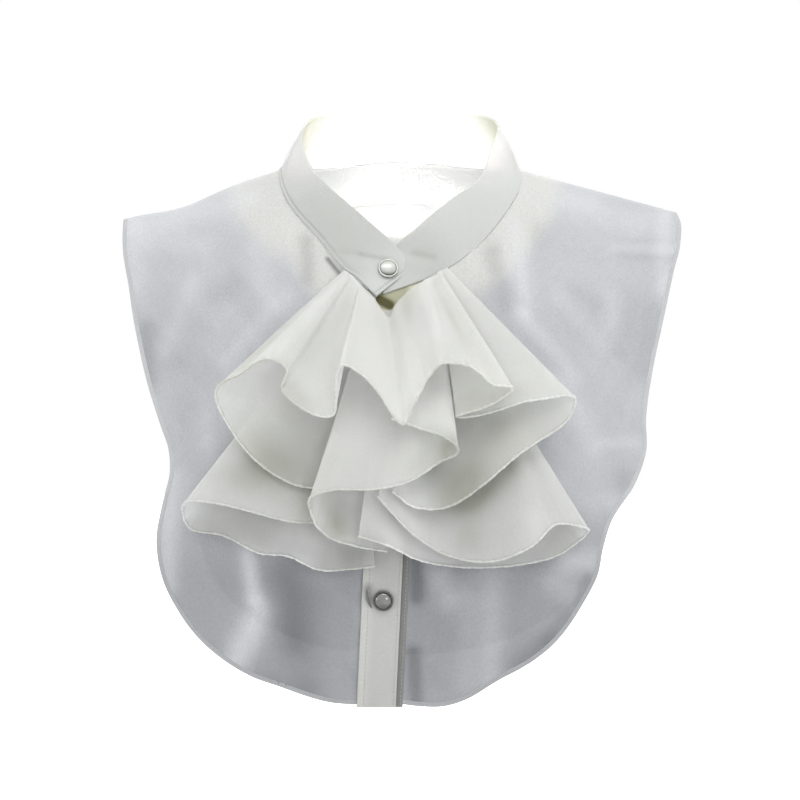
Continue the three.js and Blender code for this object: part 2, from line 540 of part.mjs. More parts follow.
function addPiece(name, geometry, look) {
  const mesh = new THREE.Mesh(geometry, materials[look]);
  mesh.name = name;
  collar.add(mesh);
  return mesh;
}

const RIGHT_PANEL_START = 0.9567; // along the band, where the right panel meets the under placket
const placketHalf = PLACKET_WIDTH / 2;

addPiece("collar_band", wall(gridOf(BAND_STEPS, BAND_COLUMNS, bandPoint), BAND_WALL), "band");
addPiece("front_panel_left", wall(frontPanel(LEFT_OUTLINE, 0, LEFT_NECK_POINT), PANEL_WALL), "sheer");
addPiece(
  "front_panel_right",
  wall(frontPanel(RIGHT_OUTLINE, RIGHT_PANEL_START, RIGHT_NECK_POINT), PANEL_WALL),
  "sheer",
);
addPiece("back_panel", wall(backPanel(), PANEL_WALL), "sheer");
addPiece("front_placket", strip(-placketHalf, placketHalf, PLACKET_OUT, PLACKET_WALL, 12), "placket");
addPiece("under_placket", strip(-UNDER_REACH, placketHalf + UNDER_SHOWS, 0, PLACKET_WALL, 12), "placket");
addPiece("jabot_upper", ruffle(UPPER_FOLDS), "ruffle");
addPiece("jabot_middle", ruffle(MIDDLE_FOLDS), "ruffle");
addPiece("jabot_lower_left", ruffle(LOWER_LEFT_FOLDS), "ruffle");
addPiece("jabot_lower_right", ruffle(LOWER_RIGHT_FOLDS), "ruffle");

const NECK_BUTTON = { along: 0.5 / (BAND_ROWS.length - 1), up: 0.54 };
const neckPoint = bandPoint(NECK_BUTTON.along, NECK_BUTTON.up);
const neckNormal = normalOf(bandPoint, NECK_BUTTON.along, NECK_BUTTON.up).negate();

const PLACKET_BUTTON = { x: -10.8, z: -264 };
const placketSurface = (x, z) => new THREE.Vector3(x, frontY(x, z) - PLACKET_OUT, z);
const placketPoint = placketSurface(PLACKET_BUTTON.x, PLACKET_BUTTON.z);
const placketNormal = normalOf(placketSurface, PLACKET_BUTTON.x, PLACKET_BUTTON.z);

for (const [place, point, normal, clothWall] of [
  ["neck", neckPoint, neckNormal, BAND_WALL],
  ["placket", placketPoint, placketNormal, PLACKET_WALL],
]) {
  seatButton(addPiece(`${place}_button_rim`, cup(), "rim"), point, normal, clothWall);
  seatButton(addPiece(`${place}_button_pearl`, dome(), "pearl"), point, normal, clothWall);
}

export default collar;
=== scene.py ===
import math
from collections import namedtuple

import bpy
import numpy as np
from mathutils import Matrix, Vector


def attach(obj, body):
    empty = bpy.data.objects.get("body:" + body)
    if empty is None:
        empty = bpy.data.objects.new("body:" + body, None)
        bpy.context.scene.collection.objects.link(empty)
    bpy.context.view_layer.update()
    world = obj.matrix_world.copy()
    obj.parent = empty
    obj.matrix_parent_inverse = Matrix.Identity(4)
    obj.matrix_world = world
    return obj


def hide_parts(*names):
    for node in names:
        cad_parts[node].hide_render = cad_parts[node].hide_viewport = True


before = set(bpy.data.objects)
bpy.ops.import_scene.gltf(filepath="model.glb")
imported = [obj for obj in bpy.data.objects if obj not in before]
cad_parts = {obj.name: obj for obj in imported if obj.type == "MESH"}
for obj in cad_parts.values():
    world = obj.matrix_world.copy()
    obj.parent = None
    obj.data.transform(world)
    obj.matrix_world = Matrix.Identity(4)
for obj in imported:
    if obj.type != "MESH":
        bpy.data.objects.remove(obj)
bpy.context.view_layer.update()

# Shapes are worked out in millimetres, mostly with the names and values of the CAD part, and turned into
# metres when a mesh is made. The floor, lights and camera are in metres. +Z is up, the front faces -Y and
# +X is the viewer's right.
METRE = 0.001


def table(kind, rows):
    """Rows of a table with names for their columns."""
    return [kind(*row) for row in rows]


BODY = "root"
LAP = 2.7
BAND_ROLL = 1.2
PLACKET_WIDTH = 25
PLACKET_OUT = 2.1
UNDER_REACH = 9
UNDER_SHOWS = 4
UNDER_MEETS = 0.38
UNDER_EDGE = PLACKET_WIDTH / 2 + UNDER_SHOWS + UNDER_MEETS
PLACKET_TOP = -79
PLACKET_BOTTOM = -333
BUTTON_RADIUS = 6.6

# Cloth and seams as they are drawn here, finer than the CAD walls and their gaps
CHIFFON = 0.45
FOLDED_CLOTH = 1.3
BAND_CLOTH = 1.6
SHOULDER_GAP = 0.2
SEAM_GAP = 0.25
NECK_INSET = 0.1
HEM_WIDTH = 3.0
HEM_CLOTH = 0.85
FACING_WIDTH = 27
CORD_RADIUS = 0.72

# The shape that the bib takes when it is worn, as horizontal sections
Section = namedtuple("Section", "z front back half")
SECTIONS = table(Section, [
    (-340, 100, 78, 172),
    (-300, 106, 84, 180),
    (-250, 111, 90, 186),
    (-200, 110, 94, 188),
    (-150, 103, 95, 189),
    (-110, 93, 94, 191),
    (-70, 78, 91, 194),
    (-40, 65, 87, 196),
    (-10, 56, 84, 197),
    (20, 52, 82, 197),
    (50, 50, 80, 197),
])
FLATNESS = 2.4
NECK_POINT_X = 79.5
NECK_POINT_Z = 16.2
CORNER_X = 184
LEFT_SHOULDER_SLOPE = 0.31
RIGHT_SHOULDER_SLOPE = 0.27
DIP_X = -145
DIP_WIDE = 25
DIP_DOWN = 4.5
NECK_SLOPE = 0.42
RIDGE_REACH = 8
FRONT_ROUNDING = 90
BACK_ROUNDING = 60
BUST_X = 76
BUST_Z = -205
BUST_WIDE = 46
BUST_TALL = 62
BUST_OUT = 14

# Ridges (out above 0) and hollows along a line from one point to the other
Crease = namedtuple("Crease", "from_x from_z to_x to_z wide out")
PANEL_FOLDS = table(Crease, [
    (-97, -238, -92, -310, 9, 4),
    (-80, -250, -74, -318, 11, -3.5),
    (-137, -60, -106, -140, 12, 3),
    (-118, -48, -90, -112, 11, -2.5),
    (20, -250, 16, -320, 9, -3.5),
    (44, -262, 38, -330, 12, 3.5),
    (104, -215, 92, -296, 13, 3),
    (127, -84, 138, -108, 8, -3),
    (108, -34, 172, -44, 7, 2.5),
])

BandRow = namedtuple("BandRow", "place neck_x neck_z top_x top_y top_z lap")
BAND_ROWS = table(BandRow, [
    ("left end", -15.5, -70, 10.4, -64, -49.5, 1),
    ("left lap", -28.5, -57.6, -1.9, -61, -37.1, 1),
    ("left lap edge", -36, -52.5, -14, -58, -26, 0.85),
    ("left front", -53, -32, -33, -51, -9, 0.3),
    ("left front turn", -70, -12.5, -51, -36, 8, 0),
    ("left side front", -77.5, 2, -62.5, -14, 26, 0),
    ("left neck point", -79.5, 16.2, -64.5, 4, 43.5, 0),
    ("left side back", -73, 17.5, -58, 24, 53, 0),
    ("left back", -48, 20, -36, 43, 58, 0),
    ("centre back", 0, 25.5, 0, 53, 60, 0),
    ("right back", 48, 20, 36, 43, 58.5, 0),
    ("right side back", 73, 17.5, 58, 24, 54, 0),
    ("right neck point", 79.5, 16.2, 65, 4, 46, 0),
    ("right side front", 79, 3, 59.5, -14, 28, 0),
    ("right front turn", 71.5, -11, 51.5, -36, 8.5, 0),
    ("right front", 57.3, -29.7, 34, -50, -5, 0),
    ("right lap edge", 38.9, -46.4, 16.3, -58, -19.5, 0),
    ("right lap", 22, -56.5, 1.5, -60, -32.5, 0),
    ("right end", -11, -68.5, -11, -61, -45, 0),
])

# Outer edge of each panel, as x and z from the bottom of the centre up to the shoulder corner, which the
# rows leave out. The right panel's inner edge lies 1 mm inside the placket that it is sewn to.
LEFT_OUTLINE = [
    (-25.1, -331.5), (-45, -330), (-70, -323), (-105, -309), (-129, -291), (-144, -272),
    (-154, -252), (-158, -228), (-154, -204), (-149, -184), (-150, -168), (-155, -154),
    (-164, -128), (-173, -92), (-179, -60), (-183.5, -36),
]
RIGHT_OUTLINE = [
    (0.8, -331), (13, -332.5), (27, -332.5), (42, -328), (63, -316), (86, -303), (103, -288),
    (117, -268), (127, -249), (131, -230), (137, -213), (152, -191), (160, -169), (160, -148),
    (164, -121), (174, -78), (181, -50), (185, -36), (186.5, -20),
]
BACK_OUTLINE = [
    (0, -312), (40, -309), (78, -298), (110, -279), (131, -252), (140, -218), (146, -178),
    (155, -138), (166, -98), (176, -58), (183, -34),
]
RIGHT_PANEL_START = 0.9584
CENTRE_X = -2.6
CENTRE_Z = -71
CENTRE_SLANT = 0.0481

# Ruffles: a row for each fold of the edge. x, z and out place the hem, sew_x, sew_z and sew_out the point
# where that fold is gathered, and swell is how far the cloth lifts off the straight way between them.
Fold = namedtuple("Fold", "fold x z out sew_x sew_z sew_out swell")
UPPER_FOLDS = table(Fold, [
    ("left back", -43, -193, 14, -24.5, -61.5, 2.4, -0.05),
    ("left back lip", -66, -190, 17, -28, -59, 2.4, -0.05),
    ("left back rise", -92, -174, 20, -31, -56, 2.5, -0.03),
    ("left corner", -113, -145, 30, -34.5, -53.5, 2.8, 0.05),
    ("left tip", -116, -130, 40, -36, -52.5, 3.8, 0.15),
    ("left wing lip", -98, -118, 50, -35, -53, 4.9, 0.22),
    ("left wing crest", -83, -111, 54, -33.5, -54, 5.4, 0.22),
    ("left tuck", -71, -117, 46, -32, -55.5, 5.6, 0.2),
    ("left tuck base", -74, -130, 37, -30.5, -56.5, 5.7, 0.15),
    ("left flute", -58, -144, 40, -29, -58, 6.0, 0.18),
    ("left flute end", -43, -146, 45, -27, -60, 6.4, 0.2),
    ("left centre crest", -36, -115, 58, -25, -62.5, 7.0, 0.22),
    ("centre slope", -22, -122, 60, -17.5, -70, 7.6, 0.22),
    ("centre point", 2, -152, 53, -7, -83.5, 8.2, 0.2),
    ("centre rise", 10, -136, 55, -3.5, -76, 7.4, 0.16),
    ("right valley", 17, -123, 55, 4, -67.5, 6.9, 0.1),
    ("right centre crest", 27, -114, 65, 15.5, -59.5, 8.3, 0.26),
    ("right centre lip", 42, -115, 66, 19.5, -57.5, 8.5, 0.24),
    ("right dip", 57, -126, 61, 23.5, -55.5, 8.2, 0.2),
    ("right point", 71, -129, 57, 26, -54, 7.8, 0.2),
    ("right under lip", 57, -139, 50, 26, -53.5, 6.7, 0.15),
    ("right under fold", 35, -147, 43, 24, -54, 6.1, 0.1),
    ("right wing start", 54, -145, 40, 26, -53, 5.4, 0.15),
    ("right wing lip", 82, -137, 42, 28.5, -52, 5.1, 0.2),
    ("right tip", 110, -135, 40, 30.5, -51, 4.6, 0.15),
    ("right corner", 106, -149, 33, 29, -52, 4.0, 0.05),
    ("right back rise", 76, -170, 27, 26.5, -53.5, 3.7, -0.05),
    ("right back slope", 52, -190, 26, 23.5, -55, 3.7, -0.1),
    ("right back lip", 29, -204, 28, 19.5, -57, 3.6, -0.18),
    ("right back dip", 10, -204, 30, 17, -58, 3.5, -0.2),
    ("right back end", -5, -194, 33, 15, -59, 3.4, -0.2),
])
MIDDLE_FOLDS = table(Fold, [
    ("under the point", -5, -148, 42, 9.5, -89, 9.2, 0.1),
    ("small flute lip", 15, -155, 47, 18, -86.5, 9.4, 0.12),
    ("small flute turn", 30, -161, 51, 26, -85, 10.0, 0.15),
    ("small flute end", 37, -169, 47, 27, -86.5, 9.1, 0.1),
    ("cone right", 25, -175, 43, 19.5, -88.5, 8.2, 0.1),
    ("cone right lip", 9, -186, 42, 9, -90.5, 7.8, 0.15),
    ("cone front", -14, -192, 41, -1.5, -91.5, 7.6, 0.2),
    ("cone left lip", -42, -193, 40, -13, -91.5, 7.2, 0.2),
    ("cone turn", -56, -198, 36, -22, -89, 6.2, 0.15),
    ("cone back turn", -55, -211, 30, -25, -88.5, 4.8, 0.05),
    ("cone back lip", -44, -223, 25, -23, -90.5, 3.8, 0),
    ("cone back", -26, -229, 22, -18, -92, 3.7, -0.05),
    ("cone back end", -8, -232, 20, -12, -93.5, 3.7, -0.05),
])
LOWER_LEFT_FOLDS = table(Fold, [
    ("front start", -44, -214, 15, -24.5, -80, 1.6, -0.2),
    ("front lip", -69, -213, 18, -27, -78, 1.6, -0.2),
    ("front rise", -94, -207, 19, -29.5, -76, 1.6, -0.17),
    ("front wave", -118, -202, 20, -33, -73.5, 1.7, -0.1),
    ("left tip", -138, -202, 18, -35.5, -71.5, 2.0, 0),
    ("left turn", -139, -210, 13, -36.5, -72, 2.2, 0),
    ("back corner", -134, -219, 8, -37.5, -74, 1.7, 0),
    ("back wave", -113, -223, 7, -36, -77, 1.5, 0),
    ("back dip", -88, -234, 7, -34, -80.5, 1.5, 0),
    ("back rise", -72, -235, 8, -32, -83, 1.5, 0),
    ("back lip", -52, -244, 7, -29.5, -85.5, 1.5, 0),
    ("back end", -35, -244, 8, -27, -88.5, 1.5, 0),
    ("back edge", -16, -242, 8, -24.5, -91, 1.5, 0),
])
LOWER_RIGHT_FOLDS = table(Fold, [
    ("inner edge", -26, -222, 30, -9, -96, 4.9, 0),
    ("inner lip", -8, -228, 27, -4.5, -95.5, 4.8, 0),
    ("inner dip", 10, -237, 17, 1.5, -95, 4.7, 0),
    ("back lip", 35, -242, 10, 12, -93, 4.3, 0),
    ("back wave", 63, -242, 8, 17.5, -89.5, 1.7, 0),
    ("back rise", 95, -237, 8, 22, -83.5, 1.6, 0),
    ("right corner", 114, -226, 9, 26.5, -76.5, 1.6, 0),
    ("right tip", 120, -220, 13, 29, -72, 1.8, 0),
    ("right turn", 111, -216, 19, 28.5, -69.5, 2.6, 0),
    ("front curl", 98, -215, 23, 26.5, -68, 3.0, 0),
    ("front dip", 84, -228, 21, 24, -69.5, 3.0, -0.12),
    ("front lip", 60, -238, 20, 20.5, -72, 3.0, -0.2),
    ("front lip middle", 35, -236, 22, 17.5, -74.5, 3.1, -0.2),
    ("front slope", 11, -223, 27, 13.5, -78, 3.4, -0.2),
    ("front end", -14, -197, 34, 9, -81, 3.9, -0.2),
])


# Curves and surfaces

def catmull_rom(points):
    """A smooth centripetal curve through the points, with u from 0 to 1 spread evenly over them."""
    points = np.asarray(points, float)
    padded = np.vstack([2 * points[0] - points[1], points, 2 * points[-1] - points[-2]])
    count = len(points) - 1

    def at(u):
        place = np.clip(np.asarray(u, float), 0, 1) * count
        i = np.minimum(place.astype(int), count - 1)
        w = (place - i)[..., None]
        p0, p1, p2, p3 = (padded[i + k] for k in range(4))
        d0, d1, d2 = (
            np.sqrt(np.linalg.norm(b - a, axis=-1, keepdims=True)) for a, b in ((p0, p1), (p1, p2), (p2, p3))
        )
        t1 = ((p1 - p0) / d0 - (p2 - p0) / (d0 + d1)) * d1 + (p2 - p1)
        t2 = (p2 - p1) + ((p3 - p2) / d2 - (p3 - p1) / (d1 + d2)) * d1
        return p1 + w * (t1 + w * ((3 * (p2 - p1) - 2 * t1 - t2) + w * (2 * (p1 - p2) + t1 + t2)))

    return at


def bell(distance, width):
    return np.exp(-((distance / width) ** 2))


def smooth_step(low, high, value):
    t = np.clip((value - low) / (high - low), 0, 1)
    return t * t * (3 - 2 * t)


def section(column, z):
    """A column of the sections at these heights, smooth between them."""
    heights = np.array([row.z for row in SECTIONS], float)
    values = np.array([getattr(row, column) for row in SECTIONS], float)
    z = np.clip(z, heights[0], heights[-1])
    i = np.clip(np.searchsorted(heights, z) - 1, 0, len(heights) - 2)
    step = heights[i + 1] - heights[i]
    t = (z - heights[i]) / step
    before = np.maximum(np.arange(len(heights)) - 1, 0)
    after = np.minimum(np.arange(len(heights)) + 1, len(heights) - 1)
    slopes = (values[after] - values[before]) / (heights[after] - heights[before])
    return (
        values[i] * (2 * t**3 - 3 * t**2 + 1)
        + slopes[i] * step * (t**3 - 2 * t**2 + t)
        + values[i + 1] * (3 * t**2 - 2 * t**3)
        + slopes[i + 1] * step * (t**3 - t**2)
    )


def ridge_height(x):
    beyond = np.abs(x) - NECK_POINT_X
    slope = np.where(x < 0, LEFT_SHOULDER_SLOPE, RIGHT_SHOULDER_SLOPE)
    outside = NECK_POINT_Z - beyond * slope - DIP_DOWN * bell(x - DIP_X, DIP_WIDE)
    return np.where(beyond < 0, NECK_POINT_Z - beyond * NECK_SLOPE, outside)


def ridge_bulge(x):
    """How far the ridge lies above the straight line between its ends."""
    side = np.sign(x)
    t = (np.abs(x) - NECK_POINT_X) / (CORNER_X - NECK_POINT_X)
    inner, outer = ridge_height(side * NECK_POINT_X), ridge_height(side * CORNER_X)
    return np.where((t > 0) & (t < 1), ridge_height(x) - inner - (outer - inner) * t, 0)


def rounding(drop, height):
    return np.sqrt(1 - (1 - np.clip(drop, 0, height) / height) ** 2)


def across(x, z):
    return np.sqrt(np.maximum(1 - (np.abs(x) / section("half", z)) ** FLATNESS, 0))


def creases(rows, x, z):
    """The sum of the ridges and hollows that rows of Crease make."""
    out = 0
    for row in rows:
        dx, dz = row.to_x - row.from_x, row.to_z - row.from_z
        t = np.clip(((x - row.from_x) * dx + (z - row.from_z) * dz) / (dx * dx + dz * dz), 0, 1)
        out = out + row.out * bell(np.hypot(x - row.from_x - t * dx, z - row.from_z - t * dz), row.wide)
    return out


def painted_light_and_shade(tone):
    """Masks of painted light, where the tone is above 0, and of painted shade, where it is below."""
    return {"pale": np.clip(tone, 0, 1), "dim": np.clip(-tone, 0, 1)}


def patches(rows, place, v):
    """The masks that rows of Tone make."""
    tone = 0
    for row in rows:
        away = np.hypot((place - row.place) / row.reach_place, (v - row.v) / row.reach_v)
        tone = tone + row.amount * bell(away, 1)
    return painted_light_and_shade(tone)


def front_y(x, z):
    bust = BUST_OUT * bell(np.abs(x) - BUST_X, BUST_WIDE) * bell(z - BUST_Z, BUST_TALL)
    depth = section("front", z) * across(x, z) + bust + creases(PANEL_FOLDS, x, z)
    return -SHOULDER_GAP / 2 - depth * rounding(ridge_height(x) - z, FRONT_ROUNDING)


def back_y(x, z):
    depth = section("back", z) * across(x, z)
    return SHOULDER_GAP / 2 + depth * rounding(ridge_height(x) - z, BACK_ROUNDING)


BAND_SPANS = len(BAND_ROWS) - 1
LEFT_NECK_POINT = [row.place for row in BAND_ROWS].index("left neck point") / BAND_SPANS
RIGHT_NECK_POINT = [row.place for row in BAND_ROWS].index("right neck point") / BAND_SPANS
neck_line_flat = catmull_rom([(row.neck_x, 0, row.neck_z) for row in BAND_ROWS])
band_top = catmull_rom([(row.top_x, row.top_y, row.top_z) for row in BAND_ROWS])
lap_curve = catmull_rom([(place, row.lap, 0) for place, row in enumerate(BAND_ROWS)])


def neck_line(u):
    flat = neck_line_flat(u)
    x, z = flat[..., 0], np.minimum(flat[..., 2], ridge_height(flat[..., 0]))
    on_back = (u > LEFT_NECK_POINT) & (u < RIGHT_NECK_POINT)
    return np.stack([x, np.where(on_back, back_y(x, z), front_y(x, z)), z], -1)


def band_point(u, v):
    seam, top = neck_line(u), band_top(u)
    rise = top - seam
    seam = seam + rise * (SEAM_GAP / np.linalg.norm(rise, axis=-1, keepdims=True))
    point = seam + (top - seam) * v[..., None]
    outward = point[..., :2] / np.linalg.norm(point[..., :2], axis=-1, keepdims=True)
    point[..., :2] += outward * (BAND_ROLL * np.sin(np.pi * v))[..., None]
    point[..., 1] -= LAP * lap_curve(u)[..., 1]
    return point


def centre_x(z):
    return CENTRE_X + (z - CENTRE_Z) * CENTRE_SLANT


# Meshes

RIM_STEPS = 4
NUDGE = 1e-3


def grid_of(point_at, columns, rows, thickness):
    """Middle points of a sheet as (rows, columns, 3), its u and v there, and the half thickness, which runs
    out in a round rim along all four edges. columns and rows are u and v values, or how many there are."""
    if isinstance(columns, int):
        columns = np.linspace(0, 1, columns)
    if isinstance(rows, int):
        rows = np.linspace(0, 1, rows)
    radius = thickness / 2
    offsets = radius * (1 - np.cos(np.linspace(0, np.pi / 2, RIM_STEPS + 1)))

    def speeds(u0, v0, u1, v1):
        return np.linalg.norm(point_at(u1, v1) - point_at(u0, v0), axis=-1) / NUDGE

    def with_rims(values, start, end):
        low = offsets[None, :] / start[:, None]
        high = 1 - offsets[None, ::-1] / end[:, None]
        inner = low[:, -1:] + (high[:, :1] - low[:, -1:]) * values[None, 1:-1]
        return np.hstack([low, inner, high])

    along, up = np.pad(columns, RIM_STEPS, "edge"), np.pad(rows, RIM_STEPS, "edge")
    zero, one = np.zeros_like(up), np.ones_like(up)
    u = with_rims(columns, speeds(zero, up, zero + NUDGE, up), speeds(one - NUDGE, up, one, up))
    zero, one = np.zeros_like(along), np.ones_like(along)
    v = with_rims(rows, speeds(along, zero, along, zero + NUDGE), speeds(along, one - NUDGE, along, one)).T
    inward = np.full(u.shape, radius)
    for k, offset in enumerate(offsets):
        for edge in (inward[k], inward[-1 - k], inward[:, k], inward[:, -1 - k]):
            np.minimum(edge, offset, out=edge)
    half = np.sqrt(np.maximum(radius**2 - (radius - inward) ** 2, 0))
    half[[0, -1], :] = 0
    half[:, [0, -1]] = 0
    return point_at(u, v), u, v, half


def normals_of(grid):
    along = np.gradient(grid, axis=1)
    up = np.gradient(grid, axis=0)
    normal = np.cross(along, up)
    return normal / np.maximum(np.linalg.norm(normal, axis=-1, keepdims=True), 1e-12)


def add_mesh(name, points, faces, masks=None):
    """Makes an object of points in millimetres. masks are values per point that its material reads."""
    mesh = bpy.data.meshes.new(name)
    mesh.from_pydata((np.asarray(points) * METRE).tolist(), [], faces)
    for key, values in (masks or {}).items():
        layer = mesh.attributes.new(key, "FLOAT", "POINT")
        layer.data.foreach_set("value", np.asarray(values, np.float32).ravel())
    mesh.polygons.foreach_set("use_smooth", [True] * len(mesh.polygons))
    mesh.update()
    thing = bpy.data.objects.new(name, mesh)
    bpy.context.scene.collection.objects.link(thing)
    return thing


def shell(name, grid, half, masks=None, relief=None, turned=False):
    """A closed sheet round a grid of middle points, with both sides joined along its edges. relief lifts
    the outer side alone. turned says that u x v points into the collar, so that the other side is the outer
    one."""
    masks = masks or {}
    if turned:
        grid, half = grid[:, ::-1], half[:, ::-1]
        masks = {key: values[:, ::-1] for key, values in masks.items()}
        relief = None if relief is None else relief[:, ::-1]
    rows, columns = half.shape
    normal = normals_of(grid)
    lift = 0 if relief is None else (relief * (half > 0))[..., None]
    outer = grid + normal * (half[..., None] + lift)
    inner = grid - normal * half[..., None]
    edge = half <= 0
    number = np.arange(rows * columns).reshape(rows, columns)
    inner_number = np.where(edge, number, 0)
    inner_number[~edge] = rows * columns + np.arange((~edge).sum())
    points = np.vstack([outer.reshape(-1, 3), inner[~edge]])
    faces = []
    for ids, inside in ((number, False), (inner_number, True)):
        corners = np.stack([ids[:-1, :-1], ids[:-1, 1:], ids[1:, 1:], ids[1:, :-1]], -1).reshape(-1, 4)
        faces += (corners[:, ::-1] if inside else corners).tolist()
    both = {key: np.concatenate([m.ravel(), m[~edge]]) for key, m in masks.items()}
    both["inner_side"] = np.concatenate([np.zeros(rows * columns), np.ones((~edge).sum())])
    return add_mesh(name, points, faces, both)


def tube(name, path, radius, sides=8, masks=None):
    """A closed tube along a path. radius is one value or one per point, and so are the masks."""
    path = np.asarray(path, float)
    ahead = np.gradient(path, axis=0)
    ahead /= np.maximum(np.linalg.norm(ahead, axis=1, keepdims=True), 1e-12)
    side = np.array([0.0, 0.0, 1.0]) - ahead * ahead[:, 2:]
    side /= np.maximum(np.linalg.norm(side, axis=1, keepdims=True), 1e-12)
    other = np.cross(ahead, side)
    radius = np.broadcast_to(np.asarray(radius, float), (len(path),))
    angles = np.arange(sides) * 2 * np.pi / sides
    ring = path[:, None] + radius[:, None, None] * (
        side[:, None] * np.cos(angles)[None, :, None] + other[:, None] * np.sin(angles)[None, :, None]
    )
    points = np.vstack([ring.reshape(-1, 3), path[:1], path[-1:]])
    faces = []
    for i in range(len(path) - 1):
        for j in range(sides):
            k = (j + 1) % sides
            faces.append((i * sides + j, (i + 1) * sides + j, (i + 1) * sides + k, i * sides + k))
    last = (len(path) - 1) * sides
    for j in range(sides):
        k = (j + 1) % sides
        faces.append((len(path) * sides, j, k))
        faces.append((len(path) * sides + 1, last + k, last + j))
    spread = {key: np.append(np.repeat(m, sides), [m[0], m[-1]]) for key, m in (masks or {}).items()}
    return add_mesh(name, points, faces, spread)


def even_steps(path, step):
    """The path again, with its points a step apart. Columns after the first three are carried along."""
    path = np.asarray(path, float)
    far = np.concatenate([[0], np.cumsum(np.linalg.norm(np.diff(path[:, :3], axis=0), axis=1))])
    places = np.linspace(0, far[-1], max(int(far[-1] / step), 2) + 1)
    return np.stack([np.interp(places, far, column) for column in path.T], 1)


def add_turned(points, faces, profile, origin, axis, hint, sides):
    """Adds a round shape about an axis, from a profile of radius and height that starts and ends on it. The
    first point of each ring lies square to the axis and the hint."""
    side = np.cross(axis, hint)
    side /= np.linalg.norm(side)
    other = np.cross(axis, side)
    rings = []
    for radius, height in profile:
        centre = origin + axis * height
        if radius < 1e-6:
            rings.append([len(points)] * sides)
            points.append(centre)
            continue
        rings.append(list(range(len(points), len(points) + sides)))
        for angle in np.arange(sides) * 2 * np.pi / sides:
            points.append(centre + radius * (math.cos(angle) * side + math.sin(angle) * other))
    for low, high in zip(rings[:-1], rings[1:]):
        for j in range(sides):
            k = (j + 1) % sides
            corners = [low[j], low[k], high[k], high[j]]
            faces.append([c for i, c in enumerate(corners) if c not in corners[:i]])


BUTTON_SIDES = 96


def revolve(name, profile, seat, masks_at=None):
    """A closed round piece on a seat, which is a point and a normal. masks_at gives the piece's masks from
    its points' places as seen from the seat."""
    points, faces = [], []
    add_turned(points, faces, profile, *seat, [0.0, 0.0, 1.0], BUTTON_SIDES)
    return add_mesh(name, points, faces, masks_at(np.array(points) - seat[0]) if masks_at else None)


STITCH_PITCH = 2.6
STITCH_LENGTH = 1.9
STITCH_RADIUS = 0.2
STITCH_SIDES = 6
STITCH_HINT = [0.3, 0.8, 0.5]
STITCH_PROFILE = [
    (STITCH_RADIUS * wide, STITCH_LENGTH / 2 * along)
    for wide, along in ((0, -1), (0.75, -0.75), (1, 0), (0.75, 0.75), (0, 1))
]


def stitches(name, lines):
    """Short thread stitches along lines of points that lie on the cloth's face."""
    points, faces = [], []
    for line in lines:
        path = even_steps(line, STITCH_PITCH)
        for start, end in zip(path[:-1], path[1:]):
            middle = (start + end) / 2
            ahead = (end - start) / np.linalg.norm(end - start)
            add_turned(points, faces, STITCH_PROFILE, middle, ahead, STITCH_HINT, STITCH_SIDES)
    return add_mesh(name, points, faces)


# Materials

